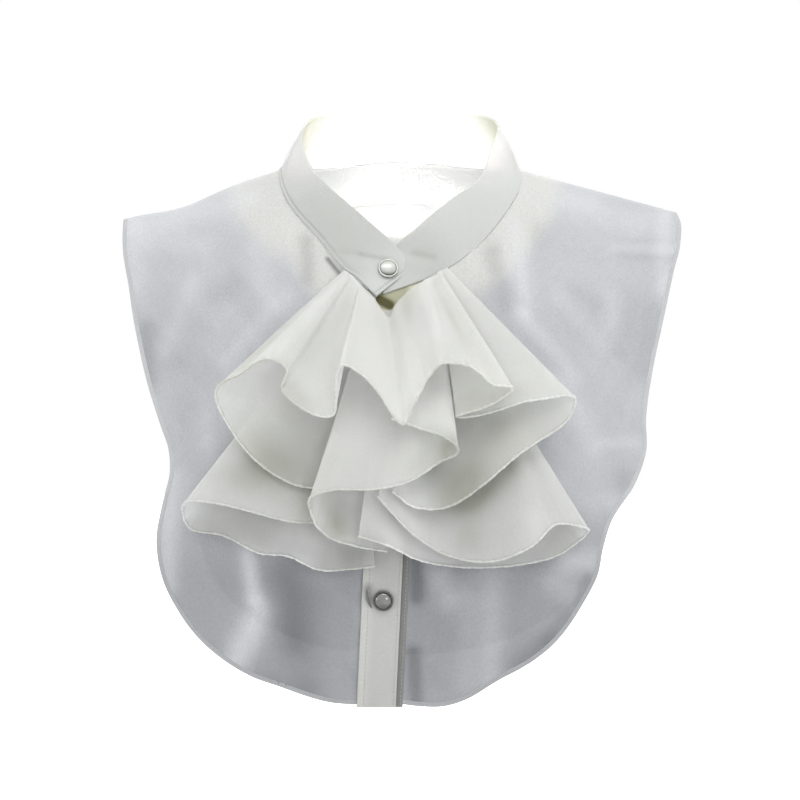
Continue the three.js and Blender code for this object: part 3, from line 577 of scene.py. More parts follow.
class Graph:
    """Short calls for the nodes that the materials share. Sizes and depths are in millimetres."""

    def __init__(self, name):
        self.material = bpy.data.materials.new(name)
        self.material.use_nodes = True
        self.tree = self.material.node_tree
        self.shader = self.tree.nodes["Principled BSDF"]
        self.place = self.add("ShaderNodeTexCoord").outputs["Object"]

    def add(self, kind, **settings):
        node = self.tree.nodes.new(kind)
        for key, value in settings.items():
            setattr(node, key, value)
        return node

    def link(self, source, target):
        self.tree.links.new(source, target)

    def noise(self, size, detail, stretch=(1, 1, 1)):
        mapping = self.add("ShaderNodeMapping")
        mapping.inputs["Scale"].default_value = stretch
        self.link(self.place, mapping.inputs["Vector"])
        node = self.add("ShaderNodeTexNoise")
        node.inputs["Scale"].default_value = 1 / (size * METRE)
        node.inputs["Detail"].default_value = detail
        self.link(mapping.outputs["Vector"], node.inputs["Vector"])
        return node.outputs["Fac"]

    def threads(self, pitch, axis):
        node = self.add("ShaderNodeTexWave", wave_type="BANDS", bands_direction=axis)
        node.inputs["Scale"].default_value = 2 * math.pi / (20 * (pitch * METRE))
        node.inputs["Distortion"].default_value = 1.5
        node.inputs["Detail Scale"].default_value = 0.6
        self.link(self.place, node.inputs["Vector"])
        return node.outputs["Fac"]

    def attribute(self, keys):
        """The value of a mask, or the product of those whose names are joined by a star."""
        product = None
        for key in keys.split("*"):
            value = self.add("ShaderNodeAttribute", attribute_name=key).outputs["Fac"]
            product = value if product is None else self.math("MULTIPLY", product, value)
        return product

    def ranged(self, noise, low, high, middle=0.2):
        """A noise, nearly all of whose values lie within the middle of its range, taken to low and high."""
        node = self.add("ShaderNodeMapRange")
        limits = {"From Min": 0.5 - middle, "From Max": 0.5 + middle, "To Min": low, "To Max": high}
        for key, number in limits.items():
            node.inputs[key].default_value = number
        self.link(noise, node.inputs["Value"])
        return node.outputs["Result"]

    def math(self, operation, first, second):
        node = self.add("ShaderNodeMath", operation=operation)
        for socket, value in zip(node.inputs, (first, second)):
            if isinstance(value, (int, float)):
                socket.default_value = value
            else:
                self.link(value, socket)
        return node.outputs["Value"]

    def mix(self, factor, first, second):
        node = self.add("ShaderNodeMix", data_type="RGBA")
        self.link(factor, node.inputs["Factor"])
        sockets = [s for s in node.inputs if s.type == "RGBA"]
        for socket, value in zip(sockets, (first, second)):
            if isinstance(value, tuple):
                socket.default_value = (*value, 1.0)
            else:
                self.link(value, socket)
        return next(s for s in node.outputs if s.type == "RGBA")

    def scaled(self, colour, value):
        node = self.add("ShaderNodeVectorMath", operation="SCALE")
        if isinstance(colour, tuple):
            node.inputs["Vector"].default_value = colour
        else:
            self.link(colour, node.inputs["Vector"])
        self.link(value, node.inputs["Scale"])
        return node.outputs["Vector"]

    def bump(self, height, depth):
        node = self.add("ShaderNodeBump")
        node.inputs["Strength"].default_value = 1.0
        node.inputs["Distance"].default_value = depth * METRE
        self.link(height, node.inputs["Height"])
        self.link(node.outputs["Normal"], self.shader.inputs["Normal"])

    def coloured(self, colour, tone):
        """The base colour: a colour times a tone."""
        self.link(self.scaled(colour, tone), self.shader.inputs["Base Color"])

    def roughened(self, noise, low, high):
        self.link(self.ranged(noise, low, high), self.shader.inputs["Roughness"])

    def set(self, **values):
        for key, value in values.items():
            self.shader.inputs[key.replace("_", " ")].default_value = value


def cloth_material(name, colour, tints=(), alpha=1.0, grain=0.05, grain_size=1.1, pitch=0.55, depth=0.12,
                   glow=0.0):
    """Woven cloth: a base colour with tints where a mask says so, crepe grain, slow patches of tone,
    crossing threads, and grain and threads in relief. tints are pairs of a mask's name and a colour."""
    graph = Graph(name)
    crepe = graph.noise(grain_size, 3.0, (1.0, 1.0, 0.7))
    slow = graph.noise(60, 1.0)
    shade = colour
    for key, tint in tints:
        shade = graph.mix(graph.attribute(key), shade, tint)
    grained = graph.ranged(crepe, 1 - grain, 1 + grain)
    graph.coloured(shade, graph.math("MULTIPLY", grained, graph.ranged(slow, 0.97, 1.03)))
    graph.roughened(crepe, 0.75, 0.9)
    weave = graph.math("ADD", graph.threads(pitch, "X"), graph.threads(pitch, "Z"))
    height = graph.math("ADD", graph.math("MULTIPLY", crepe, 2.0), graph.math("MULTIPLY", weave, 0.35))
    graph.bump(height, depth)
    graph.set(Alpha=alpha, Sheen_Weight=0.25, Sheen_Roughness=0.5)
    graph.set(Subsurface_Weight=glow, Subsurface_Radius=(1.0, 1.0, 1.0), Subsurface_Scale=3 * METRE)
    return graph.material


def thread_material(name, colour):
    """Thread: fine twist in tone and relief."""
    graph = Graph(name)
    fibre = graph.noise(0.3, 3.0, (1.0, 1.0, 2.0))
    graph.coloured(colour, graph.ranged(fibre, 0.88, 1.08))
    graph.roughened(fibre, 0.6, 0.85)
    graph.bump(fibre, 0.15)
    graph.set(Sheen_Weight=0.3)
    return graph.material


def metal_material(name, colour):
    """Plated metal with a faint brushed grain and slightly uneven polish."""
    graph = Graph(name)
    smudge = graph.noise(3, 4.0)
    brush = graph.noise(0.5, 2.0, (1.0, 1.0, 6.0))
    graph.coloured(colour, graph.ranged(smudge, 0.9, 1.05))
    graph.roughened(brush, 0.18, 0.38)
    graph.bump(brush, 0.02)
    graph.set(Metallic=1.0)
    return graph.material


def pearl_material(name, colour, swirl, shade, painted_highlight, gloss, metallic):
    """Pearl: cloudy swirls of tone, with a painted highlight and painted shade where its masks say so. gloss
    is 1 for a clear shine and 0 for none."""
    graph = Graph(name)
    cloud = graph.noise(4, 3.0, (1.0, 2.5, 1.0))
    clouded = graph.mix(graph.ranged(cloud, 0.0, 1.0, middle=0.15), colour, swirl)
    lit = graph.mix(graph.attribute("pale"), clouded, painted_highlight)
    graph.link(graph.mix(graph.attribute("dim"), lit, shade), graph.shader.inputs["Base Color"])
    rough = 0.45 - 0.3 * gloss
    graph.roughened(cloud, rough, rough + 0.1)
    graph.set(Metallic=metallic, Coat_Weight=0.6 * gloss, Coat_Roughness=0.05)
    return graph.material


CREAM = (0.68, 0.68, 0.54)
# Near-white painted light on the inside of the back of the band and panels, where the inside of the neck
# lies in shade
INSIDE_PAINTED_WHITE = (0.93, 0.93, 0.91)
SHEER = cloth_material(
    "sheer_chiffon", (0.455, 0.463, 0.486),
    [
        # low is painted shade towards the bottom; pale and dim are painted light and painted shade on the
        # folds, and dim*facing is that painted shade where the facing shows through
        ("low", (0.30, 0.306, 0.326)), ("facing", (0.68, 0.68, 0.625)), ("pale", (0.66, 0.675, 0.69)),
        ("dim", (0.17, 0.177, 0.19)), ("dim*facing", (0.19, 0.19, 0.165)), ("back*inner_side", INSIDE_PAINTED_WHITE),
    ],
    alpha=0.85, grain=0.08,
)
DOUBLED = cloth_material("doubled_chiffon", (0.5, 0.51, 0.525), [("back*inner_side", INSIDE_PAINTED_WHITE)])
# Its low tone is painted shade, darker towards the bottom
HEMMED = cloth_material("hemmed_chiffon", (0.44, 0.448, 0.46), [("low", (0.335, 0.342, 0.355))])
RUFFLE = cloth_material(
    "ruffle_chiffon", (0.765, 0.773, 0.74),
    # low is painted shade towards the bottom; pale and dim are painted light and painted shade
    [("low", (0.63, 0.635, 0.62)), ("pale", (0.97, 0.975, 0.95)), ("dim", (0.40, 0.407, 0.355))],
    alpha=0.5, grain=0.035, grain_size=0.9, depth=0.08, glow=1.0,
)
ROLLED = cloth_material(
    "rolled_hem", (0.57, 0.575, 0.555),
    # low is painted shade towards the bottom; pale and dim are painted light and painted shade
    [("low", (0.5, 0.505, 0.49)), ("pale", (0.7, 0.705, 0.69)), ("dim", (0.38, 0.385, 0.35))],
    grain=0.06, grain_size=0.7, glow=1.0,
)
BAND = cloth_material(
    "band_cloth", (0.475, 0.485, 0.47),
    [
        # pale and dim are painted light and painted shade; back*inner_side is painted light
        ("pale", (0.6, 0.61, 0.59)), ("dim", (0.27, 0.275, 0.255)), ("inner_side", CREAM),
        ("back*inner_side", INSIDE_PAINTED_WHITE),
    ],
    grain=0.03, pitch=0.45,
)
PLACKET = cloth_material(
    "placket_cloth", (0.43, 0.433, 0.42),
    # under is painted shade on the under placket, beneath the front placket; dim is painted shade beside the
    # button
    [("under", (0.2, 0.2, 0.195)), ("pale", (0.52, 0.525, 0.5)), ("dim", (0.17, 0.17, 0.165))],
    grain=0.04, pitch=0.45,
)
# The tab's olive colour is painted shade, its hollow tint a painted shadow, and its pale tint the cloth
# where no shade falls
SHADED_TAB = cloth_material(
    "tab_cloth_in_painted_shade", (0.36, 0.36, 0.255), [("pale", (0.6, 0.6, 0.48)), ("hollow_painted_shadow", (0.07, 0.066, 0.018))],
    pitch=0.45,
)
STITCH = thread_material("stitch_thread", (0.34, 0.34, 0.33))
DARK_THREAD = thread_material("buttonhole_thread", (0.15, 0.15, 0.14))
# The two buttons are of one kind: the neck button's lighter colours are painted light, and the placket
# button's darker colours are painted shade
NECK_RIM_PAINTED_LIGHT = metal_material("neck_button_metal_painted_light", (0.46, 0.47, 0.44))
NECK_PEARL_PAINTED_LIGHT = pearl_material(
    "neck_button_shell_painted_light", (0.46, 0.47, 0.44), (0.38, 0.39, 0.36), (0.13, 0.135, 0.115), (0.7, 0.71, 0.68),
    gloss=0.0, metallic=0.15,
)
PLACKET_RIM_PAINTED_SHADE = metal_material("placket_button_metal_painted_shade", (0.15, 0.15, 0.145))
PLACKET_PEARL_PAINTED_SHADE = pearl_material(
    "placket_button_shell_painted_shade", (0.22, 0.22, 0.205), (0.17, 0.17, 0.16), (0.13, 0.13, 0.12), (0.22, 0.22, 0.205),
    gloss=1.0, metallic=0.75,
)


# Pieces

def finish_piece(thing, material, replaced=()):
    thing.data.materials.append(material)
    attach(thing, BODY)
    if replaced:
        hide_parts(*replaced)
    return thing


def outline_curve(rows, side):
    """A panel's outer edge, from its rows and the shoulder corner on that side."""
    corner = side * CORNER_X
    return catmull_rom([(x, 0, z) for x, z in rows] + [(corner, 0, float(ridge_height(corner)))])


CROWDING = 1.7


def crowd(count):
    """Values from 0 to 1 that lie closer together towards 1."""
    return 1 - (1 - np.linspace(0, 1, count)) ** CROWDING


# Ripples: height, width, length and turn
RIPPLES = ((0.45, 46, 31, 0.4), (0.3, -23, 37, 1.9), (0.2, 17, 19, 4.1), (0.12, 11, -13, 2.3))


def ripples(x, z):
    """Slight unevenness of cloth that hangs, in millimetres."""
    return sum(a * np.sin(2 * np.pi * (x / wide + z / tall) + turn) for a, wide, tall, turn in RIPPLES)


# The distance from the placket's edge and the drop below the ridge over which ripples set in, and the drop
# over which the ridge is rounded
SEWN_REACH = 15
HANGING_DROP = 25
RIDGE_ROUND = 12

# Share of the hem's width by which the cloth stays inside the outline, within its rolled hem
IN_HEM = 0.3
OUTLINE_STEP = 2e-3

# Rows of a hem and of a neck facing, the stretch of the outline that is stitched with its number of points,
# and how far inside the outline the stitches lie
HEM_ROWS = 8
FACING_ROWS = 12
STITCHED = (0.01, 0.985, 400)
STITCHES_IN = HEM_WIDTH - 1.0


class Panel:
    """A bib panel between a stretch of the neck line and its outline, on the front or the back surface."""

    def __init__(self, outline_at, neck_at, surface, to_ridge, turned):
        self.outline_at, self.neck_at, self.surface = outline_at, neck_at, surface
        self.to_ridge, self.turned = to_ridge, turned
        self.outward = np.sign(surface(0.0, -200.0))

    def on(self, x, z, inside=0.0):
        """The surface there, or this far inside it. Its ripples die away at the ridge and the placket."""
        drop = ridge_height(x) - z
        hanging = smooth_step(0, HANGING_DROP, drop)
        if self.outward < 0:
            hanging = hanging * smooth_step(0, SEWN_REACH, np.abs(x - centre_x(z) - UNDER_EDGE))
        upright = smooth_step(0, RIDGE_ROUND, drop)
        y = self.surface(x, z) + hanging * ripples(x, z) - self.outward * inside * upright
        return np.stack([x, y, z - inside * (1 - upright)], -1)

    def span(self, u):
        """The neck line's point, the outline's point and how far apart they look from the front."""
        neck, outer = self.neck_at(u), self.outline_at(u)
        return neck, outer, np.hypot(outer[..., 0] - neck[..., 0], outer[..., 2] - neck[..., 2])

    def ray(self, u, distance_at, inside=0.0):
        """The point at a distance from the neck line along the straight way to the outline."""
        neck, outer, reach = self.span(u)
        point = neck + (outer - neck) * (distance_at(reach) / reach)[..., None]
        x = point[..., 0]
        return self.on(x, point[..., 2] + ridge_bulge(x) * self.to_ridge(u) ** RIDGE_REACH, inside)

    def point(self, u, v):
        return self.ray(u, lambda reach: NECK_INSET + (reach - NECK_INSET - HEM_WIDTH * IN_HEM) * v)

    def inward(self, u, distance):
        """The point this far inside the outline, square to it as seen from the front."""
        outer = self.outline_at(u)
        after, before = np.minimum(u + OUTLINE_STEP, 1), np.maximum(u - OUTLINE_STEP, 0)
        ahead = self.outline_at(after) - self.outline_at(before)
        square = np.stack([-ahead[..., 2], ahead[..., 0]], -1)
        square /= np.linalg.norm(square, axis=-1, keepdims=True)
        middle = self.neck_at(u) - outer
        turn = np.sign(square[..., 0] * middle[..., 0] + square[..., 1] * middle[..., 2])
        x = outer[..., 0] + square[..., 0] * turn * distance
        z = outer[..., 2] + square[..., 1] * turn * distance
        return self.on(x, np.minimum(z, ridge_height(x)))

    def tones(self, u, v, spots):
        x, z = spots[..., 0], spots[..., 2]
        reach = self.span(u)[2]
        spread = FACING_SPREAD * smooth_step(*SPREAD_FROM, x) + FACING_WAVE * np.sin(x / FACING_WAVE_WIDE)
        facing = 1 - smooth_step(FACING_WIDTH - FACING_FADE, FACING_WIDTH + FACING_FADE, v * reach + spread)
        return {
            # Painted light on the inside of the back panel near the neck
            "back": (1 - smooth_step(*BACK_PAINTED_LIGHT, v * reach)) * (self.outward > 0),
            "facing": facing * FACING_TONE,
            # Painted shade, darker towards the bottom
            "low": smooth_step(*LOW_PAINTED_SHADE, z),
            # Painted light and painted shade of the folds
            **painted_light_and_shade(creases(FOLD_PAINTED_LIGHT_AND_SHADE, x, z) * (self.outward < 0)),
        }

    def finished(self, name, grid, half, masks, material, replaced=()):
        return finish_piece(shell(name, grid, half, masks, turned=self.turned), material, replaced)

    def cloth(self, name, node, columns, rows):
        grid, u, v, half = grid_of(self.point, columns, rows, CHIFFON)
        return self.finished(name + "_cloth", grid, half, self.tones(u, v, grid), SHEER, [node])

    def hem(self, name, count):
        def point(u, v):
            return self.inward(u, HEM_WIDTH * (1 - v))

        grid, u, v, half = grid_of(point, count, HEM_ROWS, HEM_CLOTH)
        # Painted shade, darker towards the bottom
        masks = {"low": smooth_step(*LOW_PAINTED_SHADE, grid[..., 2])}
        return self.finished(name + "_hem", grid, half, masks, HEMMED)

    def facing(self, name, columns):
        def point(u, v):
            return self.ray(u, lambda reach: NECK_INSET + FACING_WIDTH * v, FACING_IN)

        grid, u, v, half = grid_of(point, columns, FACING_ROWS, CHIFFON)
        # The back's facing gets painted light on its inside
        masks = {"back": np.full(u.shape, float(self.outward > 0))}
        return self.finished(name + "_facing", grid, half, masks, DOUBLED)

    def hem_stitches(self, name):
        line = self.inward(np.linspace(*STITCHED), STITCHES_IN)
        line[:, 1] += self.outward * HEM_CLOTH / 2
        return finish_piece(stitches(name + "_hem_stitches", [line]), STITCH)

    def sew(self, name, node, columns, rows, hem_columns):
        """Makes the panel with its hem, neck facing and stitches."""
        cloth = self.cloth(name, node, columns, rows)
        trim = [self.hem(name, hem_columns), self.facing(name, columns), self.hem_stitches(name)]


# Painted light (out above 0) and painted shade on the folds and hollows of the front panels
FOLD_PAINTED_LIGHT_AND_SHADE = table(Crease, [
    (-170, -20, -101, -2, 13, 0.5),
    (106, -5, 158, -19, 13, 0.35),
    (-181, -18, -173, -60, 9, 0.45),
    (-136, -61, -152, -102, 7, 0.25),
    (-166, -91, -164, -122, 8, -0.45),
    (-134, -91, -140, -150, 12, -0.1),
    (-148, -84, -148, -112, 9, -0.16),
    (-120, -68, -108, -61, 9, -0.2),
    (-95, -41, -84, -72, 8, 0.2),
    (-149, -188, -151, -256, 8, 0.45),
    (-97, -232, -93, -262, 6, 0.55),
    (-89, -272, -105, -303, 10, 0.6),
    (-72, -247, -69, -291, 11, -0.75),
    (-58, -262, -60, -318, 13, -0.45),
    (-87, -318, -60, -327, 13, -0.4),
    (-120, -300, -112, -305, 9, -0.15),
    (109, -239, 121, -239, 9, 0.5),
    (121, -251, 113, -267, 3, -0.45),
    (107, -275, 97, -288, 6, -0.5),
    (93, -294, 78, -307, 9, -0.8),
    (58, -249, 58, -318, 9, 0.28),
    (10.5, -239, 10.5, -262, 4.5, -1.3),
    (8.5, -298, 10, -328, 5, -1.2),
    (26, -252, 30, -262, 9, 0.35),
    (22, -333, 34, -332, 6, -0.15),
    (166, -80, 160, -117, 10, -0.22),
    (176, -14, 173, -62, 7, 0.5),
    (150, -70, 146, -104, 8, -0.13),
    (144, -188, 144, -190, 9, -0.3),
    (137, -213, 137, -214, 7, -0.2),
    (129, -164, 155, -164, 4, 0.3),
    (104, -126, 124, -166, 8, 0.3),
    (60, -41, 62, -50, 7, -0.2),
    (65, -63, 68, -76, 7, -0.2),
    (76, -24, 81, -78, 6, 0.45),
    (88, -28, 88, -32, 12, -0.1),
    (143, -31.5, 178, -31.5, 2.6, -0.1),
    (140, -36.5, 180, -37, 3.8, 0.18),
    (143, -42, 178, -43, 2.8, -0.16),
    (111, -63, 125, -73, 4.5, -0.12),
    (104, -71, 130, -100, 7, 0.15),
    (-61, -33, -59.5, -58, 5.5, -0.22),
    (-47, -45, -38, -56, 1.3, -0.9),
    (-20, -245, -24, -300, 6, 0.2),
    (98, -252, 108, -260, 9, 0.25),
    (-165, -34, -128, -34, 8, 0.2),
    (-73, -70, -112, -110, 6, 0.25),
    (80, -82, 112, -122, 6, 0.25),
    (-124, -148, -124, -164, 6, 0.25),
    (-50, -250, -42, -252, 6, 0.15),
    (44, -250, 42, -318, 7, 0.12),
    (126, -200, 134, -203, 7, 0.2),
    (137, -70, 138, -86, 6, 0.2),
    (-74, -3, -70, -6, 6, 0.25),
    (112, -3, 128, -5, 7, 0.2),
])

# The heights between which the cloth darkens to its low tone, a painted shade towards the bottom, and the
# distances from the neck over which the painted light on the back's inside fades
LOW_PAINTED_SHADE = (-190, -255)
BACK_PAINTED_LIGHT = (70, 130)

# The neck facing shows through the cloth as a tone that fades over its wavy edge and spreads at the left
FACING_IN = 0.8
FACING_FADE = 9
FACING_TONE = 0.6
FACING_SPREAD = -7
SPREAD_FROM = (-70, -90)
FACING_WAVE = 3
FACING_WAVE_WIDE = 17

# Columns and rows of the panels, and columns of their hems
FRONT_COLUMNS = 160
FRONT_ROWS = 150
FRONT_HEM_COLUMNS = 260
BACK_HALF_COLUMNS = 104
BACK_ROWS = 86
BACK_HEM_COLUMNS = 460


def front_panel(name, node, outline, neck_from, neck_to, turned):
    def neck_at(u):
        return neck_line(neck_from + (neck_to - neck_from) * u)

    panel = Panel(outline_curve(outline, 1 if turned else -1), neck_at, front_y, lambda u: u, turned)
    panel.sew(name, node, crowd(FRONT_COLUMNS), FRONT_ROWS, FRONT_HEM_COLUMNS)


def back_panel():
    left_at = outline_curve([(-x, z) for x, z in BACK_OUTLINE], -1)
    right_at = outline_curve(BACK_OUTLINE, 1)

    def to_ridge(u):
        return np.abs(2 * u - 1)

    def outline_at(u):
        return np.where((u < 0.5)[..., None], left_at(to_ridge(u)), right_at(to_ridge(u)))

    span = RIGHT_NECK_POINT - LEFT_NECK_POINT
    panel = Panel(outline_at, lambda u: neck_line(LEFT_NECK_POINT + span * u), back_y, to_ridge, False)
    half_columns = crowd(BACK_HALF_COLUMNS) / 2
    columns = np.concatenate([0.5 - half_columns[::-1], 0.5 + half_columns[1:]])
    panel.sew("back", "back_panel", columns, BACK_ROWS, BACK_HEM_COLUMNS)


SHOULDER_SEAM_RADIUS = 0.55
SHOULDER_SEAM_SHORT = 0.5
SHOULDER_SEAM_IN = 0.1
SHOULDER_SEAM_POINTS = 90


def shoulder_seam(name, side):
    ends = NECK_POINT_X + SHOULDER_SEAM_SHORT, CORNER_X - SHOULDER_SEAM_SHORT
    x = side * np.linspace(*ends, SHOULDER_SEAM_POINTS)
    path = np.stack([x, 0 * x, ridge_height(x) - SHOULDER_SEAM_IN], -1)
    finish_piece(tube(name, path, SHOULDER_SEAM_RADIUS), DOUBLED)


# How far past the shoulders the seam under the band goes, as a share of the neck line
SEAM_PAST = 0.07
NECK_SEAM_RADIUS = 0.4
NECK_SEAM_POINTS = 500


def neck_seam():
    u = np.linspace(LEFT_NECK_POINT - SEAM_PAST, RIGHT_NECK_POINT + SEAM_PAST, NECK_SEAM_POINTS)
    path = (neck_line(u) + band_point(u, 0 * u)) / 2
    finish_piece(tube("neck_seam", path, NECK_SEAM_RADIUS), DOUBLED)


# Patches of paler (amount above 0) or dimmer colour on a ruffle or the band, by fold and share of the
# height; on the cloth they are painted light and painted shade
Tone = namedtuple("Tone", "place v reach_place reach_v amount")

# The band: a groove above its lower edge on the left front and beside its left end, and soft creases where
# it was bent
GROOVE_BEGINS = (0.03, 0.08)
GROOVE_ENDS = (LEFT_NECK_POINT, LEFT_NECK_POINT + 0.05)
GROOVE_UP = 3.1
GROOVE_WIDE = 0.55
GROOVE_DEPTH = 0.4
STRIP_EDGE = 0.7
END_GROOVE = 2.4
END_GROOVE_WIDE = 0.6
END_LENGTH = 18
# Painted shade on the band's left front and near its right end, and painted light along its top at both
# sides and near its left end's lower edge
BAND_PAINTED_LIGHT_AND_SHADE = table(Tone, [
    (2.8, 0.5, 1.9, 1.0, -0.4), (0.3, 0.2, 0.5, 0.4, 0.2), (16.8, 0.5, 0.9, 0.8, -0.35),
    (5.8, 1.0, 0.7, 0.6, 0.4), (12.2, 1.0, 0.7, 0.6, 0.3),
])
# Painted shade in the grooves, and painted light and shade along the creases
GROOVE_PAINTED_SHADE = 0.45
CREASE_PAINTED_LIGHT_AND_SHADE = 0.16

# The band's columns and rows
BAND_GRID = (460, 38)

# The stretch of the band that counts as its back, where its inside gets painted light, between the places
# where that begins and ends
BACK_BEGINS = (0.37, 0.44)
BACK_ENDS = (0.56, 0.63)

# Half the width of the stretch at the band's front that has soft creases
WORN_FRONT_HALF = 60
BAND_CREASES = table(Crease, [
    (-38, -41, -26, -43, 2.4, -0.6),
    (-26, -43, -9, -46, 1.8, -1.1),
    (-30, -48, -12, -52, 4.5, 0.7),
    (8, -42, 21, -45, 2.6, -1.1),
    (5, -47, 18, -49.5, 3.0, 0.6),
])


def on_worn_front(point):
    return (point[..., 1] < 0) & (np.abs(point[..., 0]) < WORN_FRONT_HALF)


# The band's corners at the shoulders are rounded above the seam: the places along the neck line that are
# averaged, how far along it that reaches, and the share of the band's height where it has its full effect
CORNER_STEPS = (-0.024, -0.016, -0.008, 0.008, 0.016, 0.024)
CORNER_REACH = 0.05
CORNER_HEIGHT = 0.12


def worn_band_point(u, v):
    point = band_point(u, v)
    rounded = sum(neck_line(np.clip(u + step, 0, 1)) for step in CORNER_STEPS) / len(CORNER_STEPS)
    at_shoulder = bell(u - LEFT_NECK_POINT, CORNER_REACH) + bell(u - RIGHT_NECK_POINT, CORNER_REACH)
    share = at_shoulder * smooth_step(0, CORNER_HEIGHT, v) * (1 - v)
    point += (rounded - neck_line(u)) * share[..., None]
    point[..., 1] -= creases(BAND_CREASES, point[..., 0], point[..., 2]) * on_worn_front(point)
    return point


def band_relief(u, v):
    """Height of the strip that the grooves set off, and how deep a point lies in a groove, from 0 to 1."""
    up = v * np.linalg.norm(band_top(u) - neck_line(u), axis=-1)
    along = u * BAND_SPANS * END_LENGTH
    on_left = smooth_step(*GROOVE_BEGINS, u) * (1 - smooth_step(*GROOVE_ENDS, u))
    groove = on_left * bell(up - GROOVE_UP, GROOVE_WIDE) + bell(along - END_GROOVE, END_GROOVE_WIDE)
    strip = on_left * (1 - smooth_step(GROOVE_UP - STRIP_EDGE, GROOVE_UP, up))
    return GROOVE_DEPTH * strip - GROOVE_DEPTH * groove, groove


def band():
    grid, u, v, half = grid_of(worn_band_point, *BAND_GRID, BAND_CLOTH)
    relief, groove = band_relief(u, v)
    # Painted light and painted shade: the patches, the grooves' shade and the creases' light and shade
    masks = patches(BAND_PAINTED_LIGHT_AND_SHADE, u * BAND_SPANS, v)
    bends = painted_light_and_shade(creases(BAND_CREASES, grid[..., 0], grid[..., 2]) * on_worn_front(grid))
    masks["dim"] = np.clip(masks["dim"] + GROOVE_PAINTED_SHADE * groove + CREASE_PAINTED_LIGHT_AND_SHADE * bends["dim"], 0, 1)
    masks["pale"] = np.clip(masks["pale"] + CREASE_PAINTED_LIGHT_AND_SHADE * bends["pale"], 0, 1)
    # Painted light on the inside of the band's back
    masks["back"] = smooth_step(*BACK_BEGINS, u) * (1 - smooth_step(*BACK_ENDS, u))
    cloth = shell("collar_band_cloth", grid, half, masks, relief=relief, turned=True)
    finish_piece(cloth, BAND, ["collar_band"])


def placket_point(left, right, out):
    def point(u, v):
        z = PLACKET_BOTTOM + (PLACKET_TOP - PLACKET_BOTTOM) * v
        x = centre_x(z) + left + (right - left) * u
        return np.stack([x, front_y(x, z) - out, z], -1)
    return point


# Painted shade on the placket beside its button, its paler left side, and how far its rows of stitches lie
# inside its edges
PLACKET_SHADE = [Crease(-20.5, -256.5, -19, -264, 3.2, 0.85)]
PALE_SIDE = 0.12
PALE_WIDE = 0.14
PALE_TONE = 0.6
LEFT_SEWN = 4.2
RIGHT_SEWN = 1.8
UNDER_SEWN = 1.5
SEWN_LINE = (0.004, 0.996, 300)
STITCH_LIFT = 0.05

# A placket's columns and rows
PLACKET_GRID = (22, 130)


def placket(name, node, left, right, out, lines):
    point = placket_point(left, right, out)
    grid, u, v, half = grid_of(point, *PLACKET_GRID, FOLDED_CLOTH)
    masks = {
        # The under placket is painted darker: painted shade beneath the front placket
        "under": np.full(u.shape, float(out == 0)),
        "pale": PALE_TONE * bell(u - PALE_SIDE, PALE_WIDE) * (out > 0),
        # Painted shade beside the button
        "dim": creases(PLACKET_SHADE, grid[..., 0], grid[..., 2]) * (out > 0),
    }
    cloth = finish_piece(shell(name + "_cloth", grid, half, masks), PLACKET, [node])
    rows = np.linspace(*SEWN_LINE)
    paths = []
    for x in lines:
        path = point(np.full(rows.shape, (x - left) / (right - left)), rows)
        path[:, 1] -= FOLDED_CLOTH / 2 + STITCH_LIFT
        paths.append(path)
    thread = finish_piece(stitches(name + "_stitches", paths), STITCH)


# Small waves of a ruffle's cloth: height in millimetres, waves to a fold, turn, and how fast they grow
# towards the hem
FLUTTER = ((0.6, 0.43, 0.7, 1.2), (0.25, 0.97, 2.9, 1.6), (0.16, 2.3, 1.3, 8.0), (0.1, 4.1, 3.8, 12.0))

# How far the waves lean to and fro on their way to the hem, and how fast
FLUTTER_LEAN = 1.3
FLUTTER_TURN = 2.1

# The heights between which a ruffle darkens to its low tone, a painted shade towards the bottom
RUFFLE_LOW_PAINTED_SHADE = (-150, -235)

# Unevenness of a rolled hem: share of its radius, turn per step and start
CORD_KNOTS = ((0.14, 1.9, 0), (0.16, 0.73, 1), (0.14, 0.31, 0), (0.1, 0.11, 2))
CORD_STEP = 0.45
CORD_SIDES = 7
EDGE_POINTS = 1600

